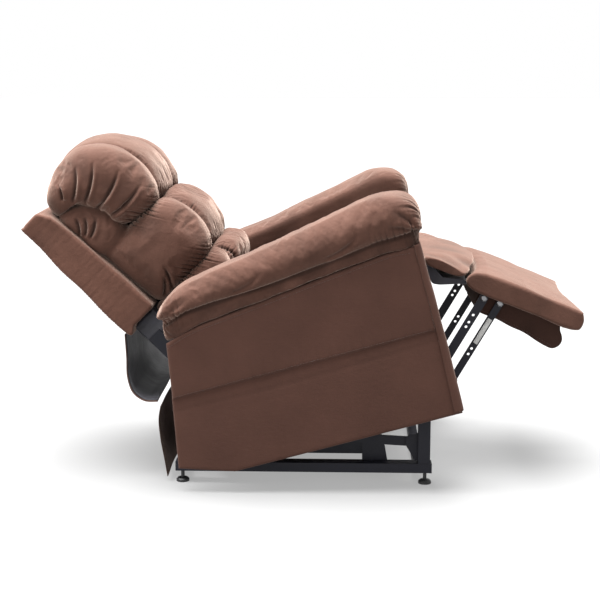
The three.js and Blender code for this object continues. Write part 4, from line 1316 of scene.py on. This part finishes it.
class RECLINER_OT_fittings(bpy.types.Operator):
    """Puts rivet heads on the linkage and a plain plate on one leg link"""

    bl_idname = "recliner.fittings"
    bl_label = "Rivets and plate"

    def execute(self, context):
        sizes = context.scene.recliner_sizes
        tree = rivet_tree()
        values = {"Head radius": sizes.rivet, "Head height": sizes.rivet * 0.2}
        groups = (("rivets_leg", "leg_links_rear", (BOARD_PIVOT,), REAR_LINK_FACE),
                  ("rivets_front_leg", "leg_links_front",
                   (moved(KNEE, LINK_OFFSET), moved(BOARD_PIVOT, LINK_OFFSET)), FRONT_LINK_FACE),
                  ("rivets_drive", "foot_drive", (DRIVE_PIVOT, KNEE), DRIVE_FACE))
        for name, body, spots, out in groups:
            points = [SEAT.place((u, sign * out, v)) for u, v in spots for _, sign in SIDES]
            piece = grown(name, points, [], tree, values)
            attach(piece, body)
        self.plate()
        return {"FINISHED"}

    def plate(self):
        """A plain grey plate on the near front leg link."""
        start, end = (np.array(moved(p, LINK_OFFSET)) for p in (KNEE, BOARD_PIVOT))
        way = (end - start) / np.linalg.norm(end - start)
        over = np.array((-way[1], way[0]))
        outline = [start + way * along + over * out
                   for along, out in ((119, -6.6), (199, -6.6), (199, 6.6), (119, 6.6))]
        rings = []
        for y in (-236.05, -236.3, -236.6):
            shrink = 1 if y > -236.5 else 0.97
            middle = np.mean(outline, axis=0)
            ring = [middle + (corner - middle) * shrink for corner in outline]
            rings.append(SEAT.place([(u, y, v) for u, v in ring]))
        piece = new_piece("leg_plate", loft(rings), finish("Plate_plastic"))
        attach(piece, "leg_links_front")


class RECLINER_OT_frame_finishes(bpy.types.Operator):
    """Paints the steel frame, motors, feet and boards that stay as they are"""

    bl_idname = "recliner.frame_finishes"
    bl_label = "Frame finishes"

    def execute(self, context):
        plain = {"plywood": "Ply_board", "bright_steel": "Drawn_steel", "black_plastic": "Motor_plastic",
                 "black_steel": "Steel_coat"}
        marks = (("deck", "plywood"), ("rod", "bright_steel"), ("motor", "black_plastic"),
                 ("supply", "black_plastic"), ("foot_rear", "black_plastic"),
                 ("foot_front", "black_plastic"))
        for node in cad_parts:
            found = [slot for mark, slot in marks if mark in node]
            dress(node, plain[found[0] if found else "black_steel"])
        return {"FINISHED"}


# ---------------------------------------------------------------- finishes and stage

class RECLINER_OT_finishes(bpy.types.Operator):
    """Makes every finish"""

    bl_idname = "recliner.finishes"
    bl_label = "Finishes"

    def execute(self, context):
        colours = context.scene.recliner_colours
        cloth, panel = tuple(colours.cloth), tuple(colours.panel)
        brushed_microfibre("Brushed_microfibre", cloth, 0.4)
        # Painted light: the back shell gets a copy of the pillow cloth a quarter lighter, standing in for
        # the light that falls on it.
        brushed_microfibre("Backrest_microfibre_painted_light", tone(cloth, 1.25), 0.35)
        brushed_microfibre("Flap_microfibre", tone(cloth, 1.1), 0.4)
        panel_microfibre("Panel_microfibre", panel)
        # Painted shade: the footrest board under the pad gets a darker copy of the panel cloth, standing
        # in for the pad's shadow.
        panel_microfibre("Board_microfibre_painted_shade", tone(panel, 0.6))
        panel_microfibre("Skirt_microfibre", tone(panel, 0.8))
        satin_lining("Satin_lining", tuple(colours.lining))
        powder_coat("Steel_coat", tuple(colours.steel), 0.45)
        moulded_plastic("Motor_plastic", (0.012, 0.012, 0.013, 1))
        moulded_plastic("Plate_plastic", (0.36, 0.36, 0.35, 1))
        drawn_steel("Drawn_steel", (0.62, 0.62, 0.64, 1))
        drawn_steel("Rivet_steel", (0.24, 0.24, 0.25, 1))
        plywood("Ply_board", (0.42, 0.27, 0.14, 1))
        sewing_thread("Sewing_thread", tone(cloth, 0.62))
        return {"FINISHED"}


def soft_light(name, place, aim, size, power, spread=math.pi):
    """A large square light turned to a point."""
    lamp = bpy.data.lights.new(name, "AREA")
    lamp.shape = "SQUARE"
    lamp.size = size
    lamp.energy = power
    lamp.spread = spread
    holder = bpy.data.objects.new(name, lamp)
    bpy.context.scene.collection.objects.link(holder)
    direction = np.array(aim, float) - np.array(place, float)
    flat = math.hypot(direction[0], direction[1])
    holder.location = place
    holder.rotation_euler = (math.atan2(flat, -direction[2]), 0,
                             math.atan2(direction[1], direction[0]) - math.pi / 2)
    return holder


class RECLINER_OT_stage(bpy.types.Operator):
    """Lays the floor and sets the lights and the camera"""

    bl_idname = "recliner.stage"
    bl_label = "Stage"

    def execute(self, context):
        scene = context.scene
        world = bpy.data.worlds.new("Studio")
        world.use_nodes = True
        sky = next(n for n in world.node_tree.nodes if n.type == "BACKGROUND")
        sky.inputs["Color"].default_value = (1, 1, 1, 1)
        sky.inputs["Strength"].default_value = 1.0
        scene.world = world
        scene.view_settings.view_transform = "Standard"
        floor = bpy.data.meshes.new("floor")
        floor.from_pydata([(-30, -30, 0), (30, -30, 0), (30, 30, 0), (-30, 30, 0)], [], [(0, 1, 2, 3)])
        ground = bpy.data.objects.new("floor", floor)
        scene.collection.objects.link(ground)
        pale = Finish("Floor", {"Roughness": 0.8, "Specular IOR Level": 0.1, "Emission Strength": 0.36,
                                "Emission Color": (1, 1, 1, 1)})
        grain = pale.noise(3, 3, 0.5)
        floor.materials.append(pale.close(pale.blend(grain, (0.11, 0.11, 0.11, 1), (0.12, 0.12, 0.12, 1))))
        overhead = bpy.data.lights.new("Overhead", "SUN")
        overhead.energy = 21
        overhead.angle = math.radians(48)
        holder = bpy.data.objects.new("Overhead", overhead)
        holder.rotation_euler = (math.radians(-2), math.radians(-8), 0)
        scene.collection.objects.link(holder)
        soft_light("Side fill", (-2.6, -3.0, 1.3), (-0.4, 0, 0.5), 1.6, 66)
        view = bpy.data.cameras.new("View")
        view.lens = 82.02
        view.sensor_width = 36
        holder = bpy.data.objects.new("View", view)
        holder.location = (0.1152, -3.949, 1.175)
        holder.rotation_euler = (math.radians(90 - 10.33), 0, math.radians(1.96))
        scene.collection.objects.link(holder)
        scene.camera = holder
        return {"FINISHED"}


# ---------------------------------------------------------------- panel and running

STEPS = (RECLINER_OT_finishes, RECLINER_OT_stage, RECLINER_OT_frame_finishes, RECLINER_OT_pillows,
         RECLINER_OT_shell, RECLINER_OT_seat, RECLINER_OT_arms, RECLINER_OT_footrest,
         RECLINER_OT_cloth, RECLINER_OT_stitches, RECLINER_OT_fittings)


class RECLINER_PT_panel(bpy.types.Panel):
    """Lists the steps in order, with the sizes and colours"""

    bl_idname = "RECLINER_PT_panel"
    bl_label = "Lift recliner"
    bl_space_type = "VIEW_3D"
    bl_region_type = "UI"
    bl_category = "Recliner"

    def draw(self, context):
        column = self.layout.column()
        for group in (context.scene.recliner_colours, context.scene.recliner_sizes):
            for name in group.__annotations__:
                column.prop(group, name)
        for step in STEPS:
            column.operator(step.bl_idname)


CLASSES = (ReclinerColours, ReclinerSizes, *STEPS, RECLINER_PT_panel)


def register():
    for made in CLASSES:
        bpy.utils.register_class(made)
    bpy.types.Scene.recliner_colours = bpy.props.PointerProperty(type=ReclinerColours)
    bpy.types.Scene.recliner_sizes = bpy.props.PointerProperty(type=ReclinerSizes)


def unregister():
    del bpy.types.Scene.recliner_colours
    del bpy.types.Scene.recliner_sizes
    for made in reversed(CLASSES):
        bpy.utils.unregister_class(made)


def main():
    """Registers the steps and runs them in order."""
    register()
    for step in STEPS:
        group, name = step.bl_idname.split(".")
        getattr(getattr(bpy.ops, group), name)()


if __name__ == "__main__":
    main()
